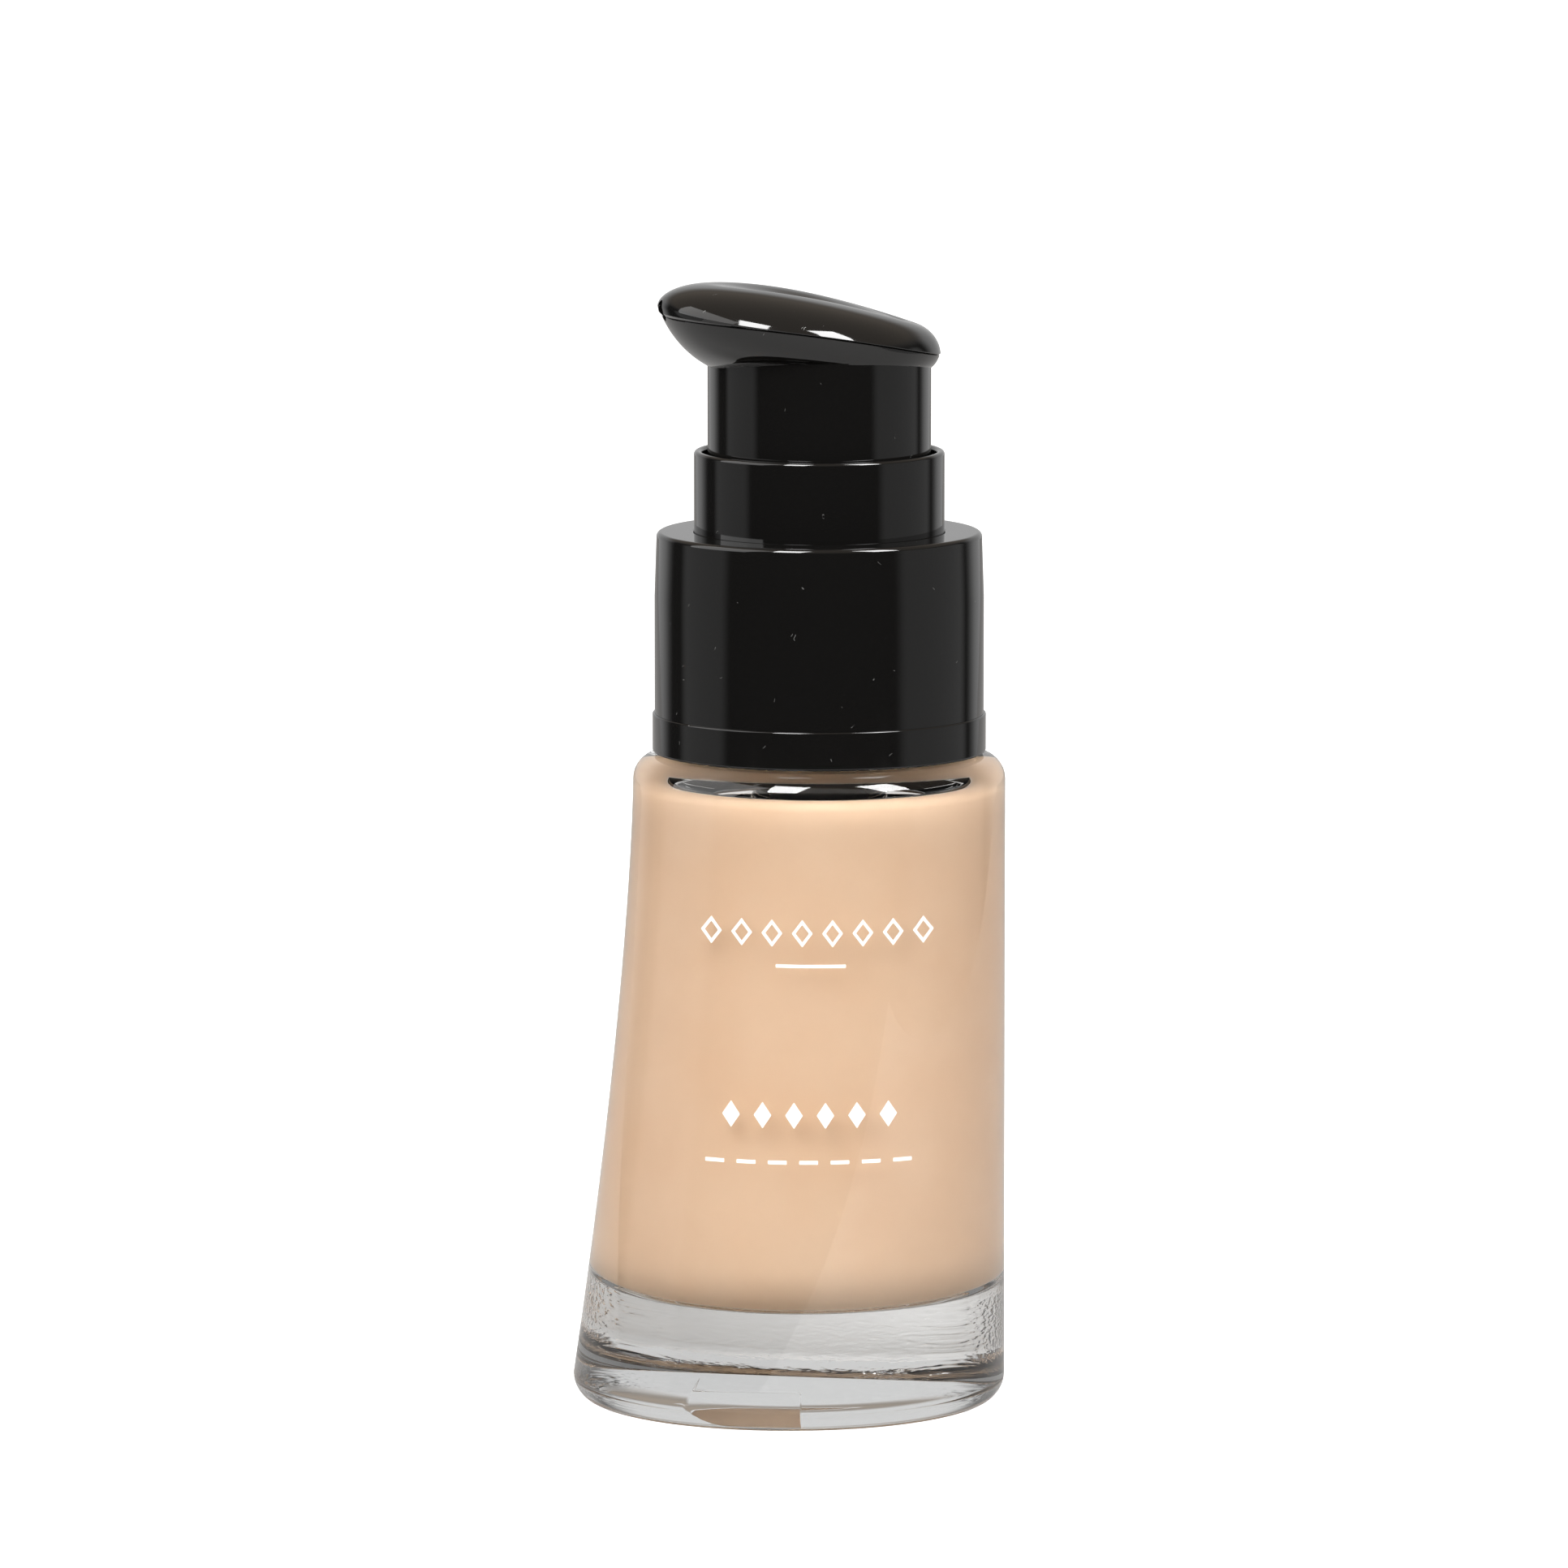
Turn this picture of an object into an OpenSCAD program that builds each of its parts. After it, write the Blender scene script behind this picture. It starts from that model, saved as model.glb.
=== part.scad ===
// Pump bottle for liquid foundation: a thick-based glass bottle that flares to one side,
// a screw closure under a gloss collar, and a treatment pump with a swivelling oval head.
// Millimetres, +Z up. The origin is the centre of the round base on the surface it stands on.
// The straight side of the glass faces +X, and the nozzle looks roughly towards -X.

/* [Bottle] */
// Outer diameter of the round base
base_d = 40; // [39:0.1:41]
// Outer diameter of the glass under the shoulder
shoulder_d = 34.4; // [34:0.1:34.8]
// Height of the flat top of the shoulder
shoulder_z = 60.35; // [60:0.05:61]
// Radius of the rounded heel
heel_r = 2.4; // [2:0.1:3]
// Radius of the rounded shoulder edge
shoulder_r = 2.3; // [2:0.1:2.6]
// Thickness of the side wall
wall = 2.4; // [2.2:0.1:2.6]
// Thickness of the solid glass base
floor_z = 10.2; // [9.8:0.1:12]
// How late the slanted side swings out: 1 is a straight slant, 2 a late curve
flare_power = 1.45; // [1.2:0.05:1.8]

/* [Neck finish] */
// Height of the sealing surface at the top of the neck
neck_top_z = 74.3; // [74.1:0.1:74.3]
// Diameter at the root of the neck thread
neck_d = 17.4; // [17.2:0.1:17.6]
// Diameter over the neck thread
thread_d = 19.6; // [19.4:0.1:19.7]
// Diameter of the hole through the neck
bore_d = 13; // [12.9:0.1:13.2]
// Rise of the thread in one turn
thread_pitch = 3.175; // [3:0.025:3.3]
// Number of turns of the thread
thread_turns = 1.5; // [1:0.25:1.5]

/* [Closure and collar] */
// Diameter of the collar where an overcap grips it
collar_d = 30.4; // [30.3:0.1:30.6]
// Diameter of the collar at its top edge
collar_top_d = 30; // [29.8:0.1:30.2]
// Height of the flat top of the collar
collar_top_z = 81; // [80.8:0.1:81.2]
// Diameter of the stop band at the foot of the collar
band_d = 30.8; // [30.7:0.1:31.2]
// Height of the stop band
band_h = 3.6; // [3:0.1:4]
// Outer diameter of the guide tube that the head slides in
guide_d = 23.1; // [23:0.1:23.2]
// Height of the rim of the guide tube
guide_top_z = 88.5; // [88:0.1:89]

/* [Head] */
// Outer diameter of the skirt below the head
skirt_d = 20.6; // [20.4:0.1:20.8]
// Length of the oval head from nozzle to heel
head_l = 26.2; // [26:0.1:26.4]
// Width of the oval head
head_w = 22.4; // [22.2:0.1:22.8]
// How far the head reaches out beyond the pump axis on the nozzle side
head_reach = 15; // [14.9:0.1:15]
// Swivel of the head at rest, away from the slanted side and towards the front
head_turn = 12; // [0:1:30]
// Diameter of the outlet
outlet_d = 1.9; // [1.7:0.1:2]

/* [Pump] */
// Full travel of the head
stroke = 5; // [4:0.5:5]
// Diameter of the pump chamber
chamber_d = 7.2; // [7.2:0.1:7.4]
// Outer diameter of the hollow stem
stem_d = 4.6; // [4.5:0.1:4.6]
// Diameter of the inlet ball
ball_d = 3.2; // [3.1:0.05:3.2]
// Outer diameter of the dip tube
tube_d = 3.4; // [3.2:0.1:3.4]
// Height of the end of the dip tube above the table
tube_end_z = 12.8; // [12:0.2:18]
// Diameter of the spring wire
wire_d = 0.55; // [0.45:0.05:0.55]
// Number of turns of the spring
spring_turns = 7; // [5:1:7]

/* [Hidden] */
$fn = 96;
eps = 0.02;

base_r = base_d / 2;
neck_x = base_r - shoulder_d / 2;       // the neck stands over this point, so that one side is straight
wall_top_z = shoulder_z - shoulder_r;   // top of the side wall, where the shoulder edge begins

glass_seg = 64;        // sides of the flared shell
cavity_seg = 48;       // sides of the cavity
shoulder_t = 2.5;      // glass over the cavity
cavity_top_z = shoulder_z - shoulder_t;
cavity_floor_r = 4.8;  // rounding of the cavity's floor
cavity_top_r = 1;      // rounding of the cavity's roof
fluid_steps = 4;       // the fluid ends at this step of the roof rounding
punt_r = 15.2;         // hollow under the base
punt_h = 1.4;

deck_z = 76.3;         // underside of the closure's deck, on the pump flange
deck_t = 1.5;
closure_r = 12;        // outside of the threaded skirt
closure_gap = 0.25;    // thread root clearance
guide_wall = 0.75;
collar_bottom_z = shoulder_z + 0.25;
closure_low_z = collar_bottom_z + 1.8; // foot of the threaded skirt, inside the collar
collar_wall = 1.2;
collar_grip_z = 75;    // the collar is a plain cylinder from the band up to here
collar_ribs = 8;

flange_t = 1.2;
gasket_t = deck_z - flange_t - neck_top_z;
barrel_r = chamber_d / 2 + 1.1;
seal_z = 72;           // shoulder in the housing that carries the stem seal
seal_t = 0.8;
guide_plug_r = 4.88;
barrel_foot_z = 52.2;  // top of the dip tube socket
spring_seat_z = 56.6;
spring_top_z = 66.2;
spring_r = 2.6;        // radius of the wire's centre line
cage_top_z = 57.6;
seat_low_z = barrel_foot_z + 1;
seat_high_z = seat_low_z + 1.4;
inlet_r = 1;
cage_r = 1.9;
tube_wall = 0.55;
socket_l = 5.6;

stem_bore_r = 1.3;
stem_low_z = 68.9;
stem_top_z = 92.5;
stem_stop_z = seal_z - 0.1;
skirt_low_z = deck_z + deck_t + stroke + 1.2;
skirt_wall = 0.9;

// --- shapes that repeat -------------------------------------------------------------------

function circle_at(r, x, z, n) = [for (i = [0:n - 1]) let (a = 360 * i / n) [x + r * cos(a), r * sin(a), z]];
function mean_of(ring) = [for (k = [0:2]) sum_of([for (p = ring) p[k]]) / len(ring)];
function sum_of(v, i = 0) = i < len(v) ? v[i] + sum_of(v, i + 1) : 0;

// A closed skin over rings of the same number of points, from the lowest ring to the highest.
module skin(rings) {
    n = len(rings[0]);
    m = len(rings);
    points = concat([for (ring = rings) each ring], [mean_of(rings[0]), mean_of(rings[m - 1])]);
    sides = [for (j = [0:m - 2]) for (i = [0:n - 1])
        let (a = j * n + i, b = j * n + (i + 1) % n)
        each [[a, a + n, b + n], [a, b + n, b]]];
    bottom = [for (i = [0:n - 1]) [m * n, i, (i + 1) % n]];
    top = [for (i = [0:n - 1]) [m * n + 1, (m - 1) * n + (i + 1) % n, (m - 1) * n + i]];
    polyhedron(points, concat(sides, bottom, top), convexity = 6);
}

// A hollow shell between outer and inner rings, which start side by side at its lower edge. A closed shell
// has its own top over the last rings, and an open one has an upper edge there.
module shell(outer, inner, closed) {
    n = len(outer[0]);
    mo = len(outer);
    mi = len(inner);
    in0 = mo * n;
    top_out = (mo - 1) * n;
    top_in = in0 + (mi - 1) * n;
    pole = (mo + mi) * n;
    points = concat([for (ring = outer) each ring], [for (ring = inner) each ring],
        [mean_of(outer[mo - 1]), mean_of(inner[mi - 1])]);
    // The quad between two neighbouring points of one ring and the same two of another.
    function quad(i, low, high) = let (k = (i + 1) % n)
        [[low + i, high + i, high + k], [low + i, high + k, low + k]];
    outside = [for (j = [0:mo - 2]) for (i = [0:n - 1]) each quad(i, j * n, (j + 1) * n)];
    inside = [for (j = [0:mi - 2]) for (i = [0:n - 1]) each quad(i, in0 + (j + 1) * n, in0 + j * n)];
    edge = [for (i = [0:n - 1]) each quad(i, in0, 0)];
    roof = closed
        ? [for (i = [0:n - 1]) let (k = (i + 1) % n)
            each [[pole, top_out + k, top_out + i], [pole + 1, top_in + i, top_in + k]]]
        : [for (i = [0:n - 1]) each quad(i, top_out, top_in)];
    polyhedron(points, concat(outside, inside, edge, roof), convexity = 8);
}

module at_neck() {
    translate([neck_x, 0, 0]) children();
}

module tube(r_out, r_in, z0, z1) {
    translate([0, 0, z0]) difference() {
        cylinder(r = r_out, h = z1 - z0);
        translate([0, 0, -eps]) cylinder(r = r_in, h = z1 - z0 + 2 * eps);
    }
}

// A right-hand thread ridge from radius r_root to r_crest that starts at height z0. Its ends run out.
module thread_ridge(r_root, r_crest, root_w, crest_w, z0, turns) {
    steps = ceil(36 * turns);
    fade = 3;
    function height(i) = r_root + (r_crest - r_root) * min(1, (i + 0.2) / fade, (steps - i + 0.2) / fade);
    function section(i) = let (a = 360 * turns * i / steps, z = z0 + thread_pitch * a / 360, c = height(i))
        [for (p = [[r_root, -root_w / 2], [c, -crest_w / 2], [c, crest_w / 2], [r_root, root_w / 2]])
            [p[0] * cos(a), p[0] * sin(a), z + p[1]]];
    side = r_crest > r_root ? 1 : -1;
    sections = [for (i = [0:steps]) section(i)];
    points = [for (s = sections) each s];
    walls = [for (j = [0:steps - 1]) for (k = [0:3])
        let (a = 4 * j + k, b = 4 * j + (k + 1) % 4)
        each [[a, b, b + 4], [a, b + 4, a + 4]]];
    ends = [[0, 2, 1], [0, 3, 2], [4 * steps, 4 * steps + 1, 4 * steps + 2],
            [4 * steps, 4 * steps + 2, 4 * steps + 3]];
    faces = concat(walls, ends);
    polyhedron(points, side > 0 ? faces : [for (f = faces) [f[0], f[2], f[1]]], convexity = 8);
}

// --- bottle ------------------------------------------------------------------------------

// Outer radius of the glass at height z. The centre of each level moves so that one side stays straight.
function glass_r(z) = shoulder_d / 2 + (base_r - shoulder_d / 2)
    * pow(max(0, min(1, (wall_top_z - z) / (wall_top_z - heel_r))), flare_power);
function glass_x(z) = base_r - glass_r(z);

outer_rings = concat(
    [for (a = [-90:18:-18])
        circle_at(base_r - heel_r * (1 - cos(a)), 0, heel_r * (1 + sin(a)), glass_seg)],
    [for (i = [0:12]) let (z = heel_r + (wall_top_z - heel_r) * i / 12)
        circle_at(glass_r(z), glass_x(z), z, glass_seg)],
    [for (a = [18:18:90]) let (r = shoulder_d / 2 - shoulder_r * (1 - cos(a)))
        circle_at(r, neck_x, wall_top_z + shoulder_r * sin(a), glass_seg)]);

cavity_low_z = floor_z + cavity_floor_r;
cavity_high_z = cavity_top_z - cavity_top_r;
cavity_rings = concat(
    [for (a = [-90:18:-18]) let (z = cavity_low_z, r = glass_r(z) - wall - cavity_floor_r * (1 - cos(a)))
        circle_at(r, glass_x(z), z + cavity_floor_r * sin(a), cavity_seg)],
    [for (i = [0:10]) let (z = cavity_low_z + (cavity_high_z - cavity_low_z) * i / 10)
        circle_at(glass_r(z) - wall, glass_x(z), z, cavity_seg)],
    [for (a = [18:18:90]) let (r = shoulder_d / 2 - wall - cavity_top_r * (1 - cos(a)))
        circle_at(r, neck_x, cavity_high_z + cavity_top_r * sin(a), cavity_seg)]);
fluid_rings = [for (i = [0:len(cavity_rings) - 6 + fluid_steps]) cavity_rings[i]];

// The decorator's locating notch in the heel: a square shoulder on one side that runs out on the other.
module heel_notch() {
    notch_w = 10.4;
    notch_h = 3.9;
    notch_d = 1.1;
    translate([1, -base_r, -eps]) rotate([0, 0, -6.5])
        translate([-notch_w, -notch_d, 0]) cube([notch_w, 2 * notch_d, notch_h]);
}

module glass_bottle() color([0.86, 0.89, 0.89, 0.4]) difference() {
    union() {
        skin(outer_rings);
        at_neck() translate([0, 0, wall_top_z]) cylinder(d = neck_d, h = neck_top_z - wall_top_z);
        at_neck() tube(neck_d / 2 + 0.9, neck_d / 2 - 0.5, shoulder_z + 1.2, shoulder_z + 2.2);
        at_neck() thread_ridge(neck_d / 2 - 0.2, thread_d / 2, 2.1, 1, shoulder_z + 5, thread_turns);
    }
    skin(cavity_rings);
    at_neck() translate([0, 0, cavity_top_z - 1]) cylinder(d = bore_d, h = neck_top_z - cavity_top_z + 2);
    translate([0, 0, -eps]) cylinder(r1 = punt_r, r2 = punt_r - 5, h = punt_h);
    heel_notch();
}

// The pump and its tube stand in a clear channel, so that they can be drawn up out of the fluid.
module foundation_fluid() color([0.89, 0.75, 0.61]) difference() {
    skin(fluid_rings);
    at_neck() {
        translate([0, 0, tube_end_z - 0.3]) cylinder(d = tube_d + 0.4, h = 80);
        translate([0, 0, barrel_foot_z - socket_l - 0.3]) cylinder(r = tube_d / 2 + 1.1, h = 80);
        translate([0, 0, barrel_foot_z - 0.3]) cylinder(r = barrel_r + 0.2, h = 80);
    }
}

// --- closure and collar -------------------------------------------------------------------

module screw_closure() color([0.07, 0.07, 0.07]) at_neck() {
    root_r = thread_d / 2 + closure_gap;
    difference() {
        union() {
            translate([0, 0, closure_low_z]) cylinder(r = closure_r, h = deck_z + deck_t - closure_low_z);
            rotate_extrude() translate([guide_d / 2 - guide_wall, 0]) union() {
                translate([0, deck_z]) square([guide_wall, guide_top_z - deck_z - guide_wall / 2]);
                translate([guide_wall / 2, guide_top_z - guide_wall / 2]) circle(d = guide_wall, $fn = 32);
            }
        }
        cylinder(r = root_r, h = deck_z);
        translate([0, 0, deck_z - eps]) cylinder(r = 6.6, h = 10);
        translate([0, 0, deck_z + deck_t]) cylinder(r = guide_d / 2 - guide_wall - eps, h = 20);
    }
    translate([0, 0, shoulder_z + 5 + thread_pitch / 2])
        thread_ridge(root_r + 0.2, neck_d / 2 + 0.4, 1.5, 0.7, 0, thread_turns);
}

module collar_shell() color([0.05, 0.05, 0.05]) at_neck() {
    edge_r = 0.45;
    inner_r = collar_top_d / 2 - collar_wall;
    rotate_extrude() difference() {
        union() {
            translate([0, collar_bottom_z]) square([band_d / 2, band_h]);
            polygon([[0, collar_bottom_z], [collar_d / 2, collar_bottom_z], [collar_d / 2, collar_grip_z],
                [collar_top_d / 2, collar_top_z - edge_r], [collar_top_d / 2 - edge_r, collar_top_z],
                [0, collar_top_z]]);
            translate([collar_top_d / 2 - edge_r, collar_top_z - edge_r]) circle(r = edge_r, $fn = 32);
        }
        translate([-eps, collar_bottom_z - eps])
            square([inner_r + eps, collar_top_z - collar_wall - collar_bottom_z]);
        translate([-eps, collar_bottom_z]) square([guide_d / 2 + 0.01 + eps, 30]);
    }
    for (i = [0:collar_ribs - 1]) rotate([0, 0, 360 * (i + 0.5) / collar_ribs])
        translate([closure_r + 0.01, -0.5, collar_bottom_z + 2.4])
            cube([inner_r - closure_r + 0.2, 1, collar_top_z - collar_wall - collar_bottom_z - 2.4]);
}

module neck_gasket() color([0.92, 0.92, 0.9]) at_neck()
    tube(8.6, 6.6, neck_top_z, neck_top_z + gasket_t);

// --- pump ---------------------------------------------------------------------------------

module pump_housing() color([0.07, 0.07, 0.07]) at_neck() difference() {
    rotate_extrude() polygon([
        [0, barrel_foot_z - socket_l], [tube_d / 2 + 0.9, barrel_foot_z - socket_l],
        [tube_d / 2 + 0.9, barrel_foot_z],
        [barrel_r, seat_high_z], [barrel_r, seal_z - 1.6], [6.1, seal_z - 0.4], [6.1, deck_z - flange_t],
        [8.6, deck_z - flange_t], [8.6, deck_z], [0, deck_z]]);
    translate([0, 0, barrel_foot_z - socket_l - eps]) cylinder(d = tube_d, h = socket_l);
    translate([0, 0, barrel_foot_z - eps * 2]) cylinder(r = inlet_r, h = 5);
    translate([0, 0, seat_low_z]) cylinder(r1 = inlet_r, r2 = cage_r, h = seat_high_z - seat_low_z + eps);
    translate([0, 0, seat_high_z]) cylinder(r = cage_r, h = cage_top_z - 0.4 - seat_high_z);
    translate([0, 0, seat_high_z]) cylinder(r = 1.45, h = 10);
    tube(chamber_d / 2, cage_r + 0.35, spring_seat_z, cage_top_z + eps);
    translate([0, 0, cage_top_z]) cylinder(d = chamber_d, h = 30);
    translate([0, 0, seal_z]) cylinder(r = guide_plug_r + 0.01, h = 30);
}

module stem_seal() color([0.8, 0.8, 0.78]) at_neck()
    tube(guide_plug_r, stem_d / 2 + 0.02, seal_z, seal_z + seal_t);

module stem_guide() color([0.95, 0.95, 0.95]) at_neck() difference() {
    union() {
        translate([0, 0, seal_z + seal_t]) cylinder(r = guide_plug_r, h = deck_z - seal_z - seal_t);
        translate([0, 0, deck_z]) cylinder(r = 6.4, h = 1);
        translate([0, 0, deck_z]) cylinder(r = 3.8, h = 2);
    }
    translate([0, 0, seal_z]) cylinder(r = stem_d / 2 + 0.05, h = 20);
}

module dip_tube() color([0.9, 0.91, 0.9]) at_neck() difference() {
    tube(tube_d / 2, tube_d / 2 - tube_wall, tube_end_z, barrel_foot_z - 0.1);
    translate([-tube_d / 2, 0, tube_end_z]) rotate([0, -40, 0])
        translate([0, 0, -5]) cube([10, 10, 10], center = true);
}

cone_slope = (cage_r - inlet_r) / (seat_high_z - seat_low_z);
ball_z = seat_low_z - inlet_r / cone_slope + (ball_d / 2) / sin(atan(cone_slope)) + 0.015;

module inlet_ball() color([0.75, 0.78, 0.8]) at_neck()
    translate([0, 0, ball_z]) sphere(d = ball_d, $fn = 48);

// A coil with closed ends, as one swept wire.
module pump_spring() {
    sides = 6;
    per_turn = 20;
    steps = spring_turns * per_turn;
    rise = spring_top_z - spring_seat_z - wire_d - 0.04;
    function lift(t) = let (closed = 0.9 / spring_turns, free = 1 - 2 * closed, step = wire_d * 0.9)
        t < closed ? step * t / closed
        : t > 1 - closed ? rise - step * (1 - t) / closed
        : step + (rise - 2 * step) * (t - closed) / free;
    points = [for (i = [0:steps])
        let (a = 360 * i / per_turn, z = spring_seat_z + wire_d / 2 + 0.02 + lift(i / steps))
        for (k = [0:sides - 1]) let (r = spring_r + wire_d / 2 * cos(360 * k / sides))
            [r * cos(a), r * sin(a), z + wire_d / 2 * sin(360 * k / sides)]];
    last = steps * sides;
    walls = [for (j = [0:steps - 1]) for (k = [0:sides - 1])
        let (a = sides * j + k, b = sides * j + (k + 1) % sides)
        each [[a, b, b + sides], [a, b + sides, a + sides]]];
    ends = [for (k = [1:sides - 2]) each [[0, k + 1, k], [last, last + k, last + k + 1]]];
    color([0.7, 0.71, 0.72]) at_neck() polyhedron(points, concat(walls, ends), convexity = 20);
}

module pump_stem() color([0.95, 0.95, 0.95]) at_neck() difference() {
    union() {
        translate([0, 0, stem_low_z]) cylinder(d = stem_d, h = stem_top_z - stem_low_z);
        translate([0, 0, stem_stop_z - 1]) cylinder(r = 3.4, h = 1);
    }
    translate([0, 0, stem_low_z - 1]) cylinder(r = stem_bore_r, h = 40);
}

// The rod closes the stem from below. Its fluted shank lets the fluid past.
module piston_rod() color([0.9, 0.9, 0.9]) at_neck() {
    cone_z = spring_top_z + 1.2;
    translate([0, 0, spring_top_z - 1.6]) cylinder(r = 2, h = 1.6);
    translate([0, 0, spring_top_z]) cylinder(r1 = 2.95, r2 = 2.1, h = cone_z - spring_top_z);
    translate([0, 0, cone_z]) cylinder(r = 1.7, h = stem_low_z - cone_z);
    translate([0, 0, stem_low_z]) intersection() {
        cylinder(r = stem_bore_r, h = 4);
        union() {
            translate([-2, -0.4, 0]) cube([4, 0.8, 4]);
            translate([-0.4, -2, 0]) cube([0.8, 4, 4]);
        }
    }
}

module pump_piston() color([0.85, 0.87, 0.9]) at_neck() {
    low_z = spring_top_z + 1.2;
    hub = stem_d / 2 + 0.04;
    lip = chamber_d / 2 - 0.02;
    rotate_extrude() polygon([
        [hub, low_z], [hub + 0.5, low_z + 0.1], [hub + 0.5, low_z + 1.2], [lip - 0.45, low_z + 1.2],
        [lip - 0.3, low_z - 0.2],
        [lip, low_z - 0.2], [lip - 0.12, low_z + 1.5], [lip, low_z + 2.9], [lip - 0.3, low_z + 2.9],
        [lip - 0.45, low_z + 1.9], [hub + 0.5, low_z + 1.9], [hub + 0.5, low_z + 2.9], [hub, low_z + 3]]);
}

// --- head ---------------------------------------------------------------------------------
// Lengths along the head run from the pump axis, with the nozzle on the minus side.

head_a = head_l / 2;
head_b = head_w / 2;
head_c = head_a - head_reach;          // centre of the oval
head_seg = 64;
dish_a = 9.2;                          // half length and half width of the finger dish
dish_b = 4.6;
dish_c = -1.3;
dish_depth = 0.7;
shell_t = 1.2;
nozzle_z = 101.7;

// Height of the parting line, and of the crown that carries the finger dish, at distance u along the head.
function parting_z(u) = let (d = u + 13) 101.1 - 0.05 * d - 0.0045 * d * d;
function crown_z(u) = let (d = u + 10.5) 104.05 - 0.0436 * d - 0.00879 * d * d;

// A point of an oval of half axes a and b about c, with its height from the parting line and a rise.
function oval_at(a, b, c, i) = [c + a * cos(360 * i / head_seg), b * sin(360 * i / head_seg)];
// How near a point of a ring is to the nozzle end, from 0 to 1.
function tip(i) = pow(max(0, -cos(360 * i / head_seg)), 3);
// A ring along the parting line, moved inwards and upwards, and by further amounts at the nozzle end.
function parting_ring(inset, rise, tip_inset = 0, tip_rise = 0) = [for (i = [0:head_seg - 1])
    let (d = inset + tip_inset * tip(i), p = oval_at(head_a - d, head_b - d, head_c, i))
    [p[0], p[1], parting_z(p[0]) + rise + tip_rise * tip(i)]];
// The line on the skirt where the underside of the head begins: lowest at the nozzle, highest at the sides.
function skirt_ring(r, rise) = [for (i = [0:head_seg - 1]) let (a = 360 * i / head_seg)
    [r * cos(a), r * sin(a), 96.2 + 1.3 * pow(abs(sin(a)), 1.5) - 0.02 * r * cos(a) + rise]];
function flat_ring(r, z) = circle_at(r, 0, z, head_seg);
// Rings between two rings. bulge 0 is straight, and 1 is a full quarter of an ellipse.
function between(low, high, steps, bulge) = [for (j = [1:steps - 1])
    let (t = j / steps, s = t + bulge * (1 - cos(90 * t) - t), h = t + bulge * (sin(90 * t) - t))
    [for (i = [0:len(low) - 1]) [
        low[i][0] + (high[i][0] - low[i][0]) * s,
        low[i][1] + (high[i][1] - low[i][1]) * s,
        low[i][2] + (high[i][2] - low[i][2]) * h]]];
// Rings of a dome between two rings. Its sides lean in by lean degrees from the start, and its ends don't.
function dome(low, high, steps, lean) = [for (j = [1:steps - 1]) [for (i = [0:head_seg - 1])
    let (a0 = lean * abs(sin(360 * i / head_seg)), a = a0 + (90 - a0) * j / steps,
         s = 1 - cos(a) / cos(a0), h = (sin(a) - sin(a0)) / (1 - sin(a0)))
    [low[i][0] + (high[i][0] - low[i][0]) * s,
     low[i][1] + (high[i][1] - low[i][1]) * s,
     low[i][2] + (high[i][2] - low[i][2]) * h]]];
// The underside swells outwards on its way up, so its bulge is counted from the parting line.
function underside(low, high, steps, bulge) = let (down = between(high, low, steps, bulge))
    [for (j = [1:steps - 1]) down[steps - 1 - j]];
function dish_ring(k) = [for (i = [0:head_seg - 1])
    let (p = oval_at(dish_a * k, dish_b * k, dish_c, i))
    [p[0], p[1], crown_z(p[0]) - dish_depth * pow(1 - k * k, 2)]];
function roof_ring(k, drop) = [for (i = [0:head_seg - 1])
    let (p = oval_at(dish_a * k, dish_b * k, dish_c, i)) [p[0], p[1], crown_z(p[0]) - drop]];

module at_head() {
    at_neck() rotate([0, 0, head_turn]) children();
}

spout_low_z = 98.4;
spout_l = head_reach - 2.6;
spout_r = 1.05;
spout_tilt = atan((nozzle_z - spout_low_z) / spout_l);

module nozzle(u) {
    translate([u, 0, nozzle_z]) rotate([0, 90, 0]) children();
}

// The outlet's place at the tip of the head, cut through both halves of the shell, with room for the spout.
module nozzle_hole() {
    nozzle(-head_reach - 1) cylinder(d = outlet_d + 0.04, h = 3.2, $fn = 48);
    nozzle(-head_reach + 2.1) cylinder(r = spout_r + 0.12, h = 3.6, $fn = 48);
}

module head_body() color([0.06, 0.06, 0.06]) at_head() {
    r = skirt_d / 2;
    inner_r = r - skirt_wall;
    outer_low = skirt_ring(r, 0);
    outer_rim = parting_ring(0.1, 0, 0.3);
    inner_low = skirt_ring(inner_r, 0.9);
    inner_rim = parting_ring(shell_t + 0.1, 0);
    difference() {
        shell(
            concat([flat_ring(r, skirt_low_z), outer_low],
                underside(outer_low, outer_rim, 5, 0.42), [outer_rim]),
            concat([flat_ring(inner_r, skirt_low_z), inner_low],
                underside(inner_low, inner_rim, 5, 0.22), [inner_rim]),
            false);
        nozzle_hole();
    }
}

module head_cover() color([0.06, 0.06, 0.06]) at_head() {
    lip = shell_t + 0.12;       // the tapered lip under the cover locates it in the body
    lip_in = shell_t + 0.95;
    widest = parting_ring(0, 0.12, 0, 0.75);
    springing = parting_ring(lip_in, 0.4);
    crest = roof_ring(0.9, shell_t + 0.3);
    difference() {
        shell(
            concat([parting_ring(0.1, 0.01, 0.3), widest], dome(widest, dish_ring(1), 6, 16),
                [for (k = [1, 0.8, 0.6, 0.4, 0.2]) dish_ring(k)]),
            concat([parting_ring(lip, 0.01), parting_ring(lip + 0.5, -0.45), parting_ring(lip_in, -0.45),
                springing], dome(springing, crest, 4, 0), [crest, roof_ring(0.4, shell_t + dish_depth)]),
            true);
        nozzle_hole();
    }
}

module spout() {
    translate([0, 0, spout_low_z]) rotate([0, -90 + spout_tilt, 0]) children();
}

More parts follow.
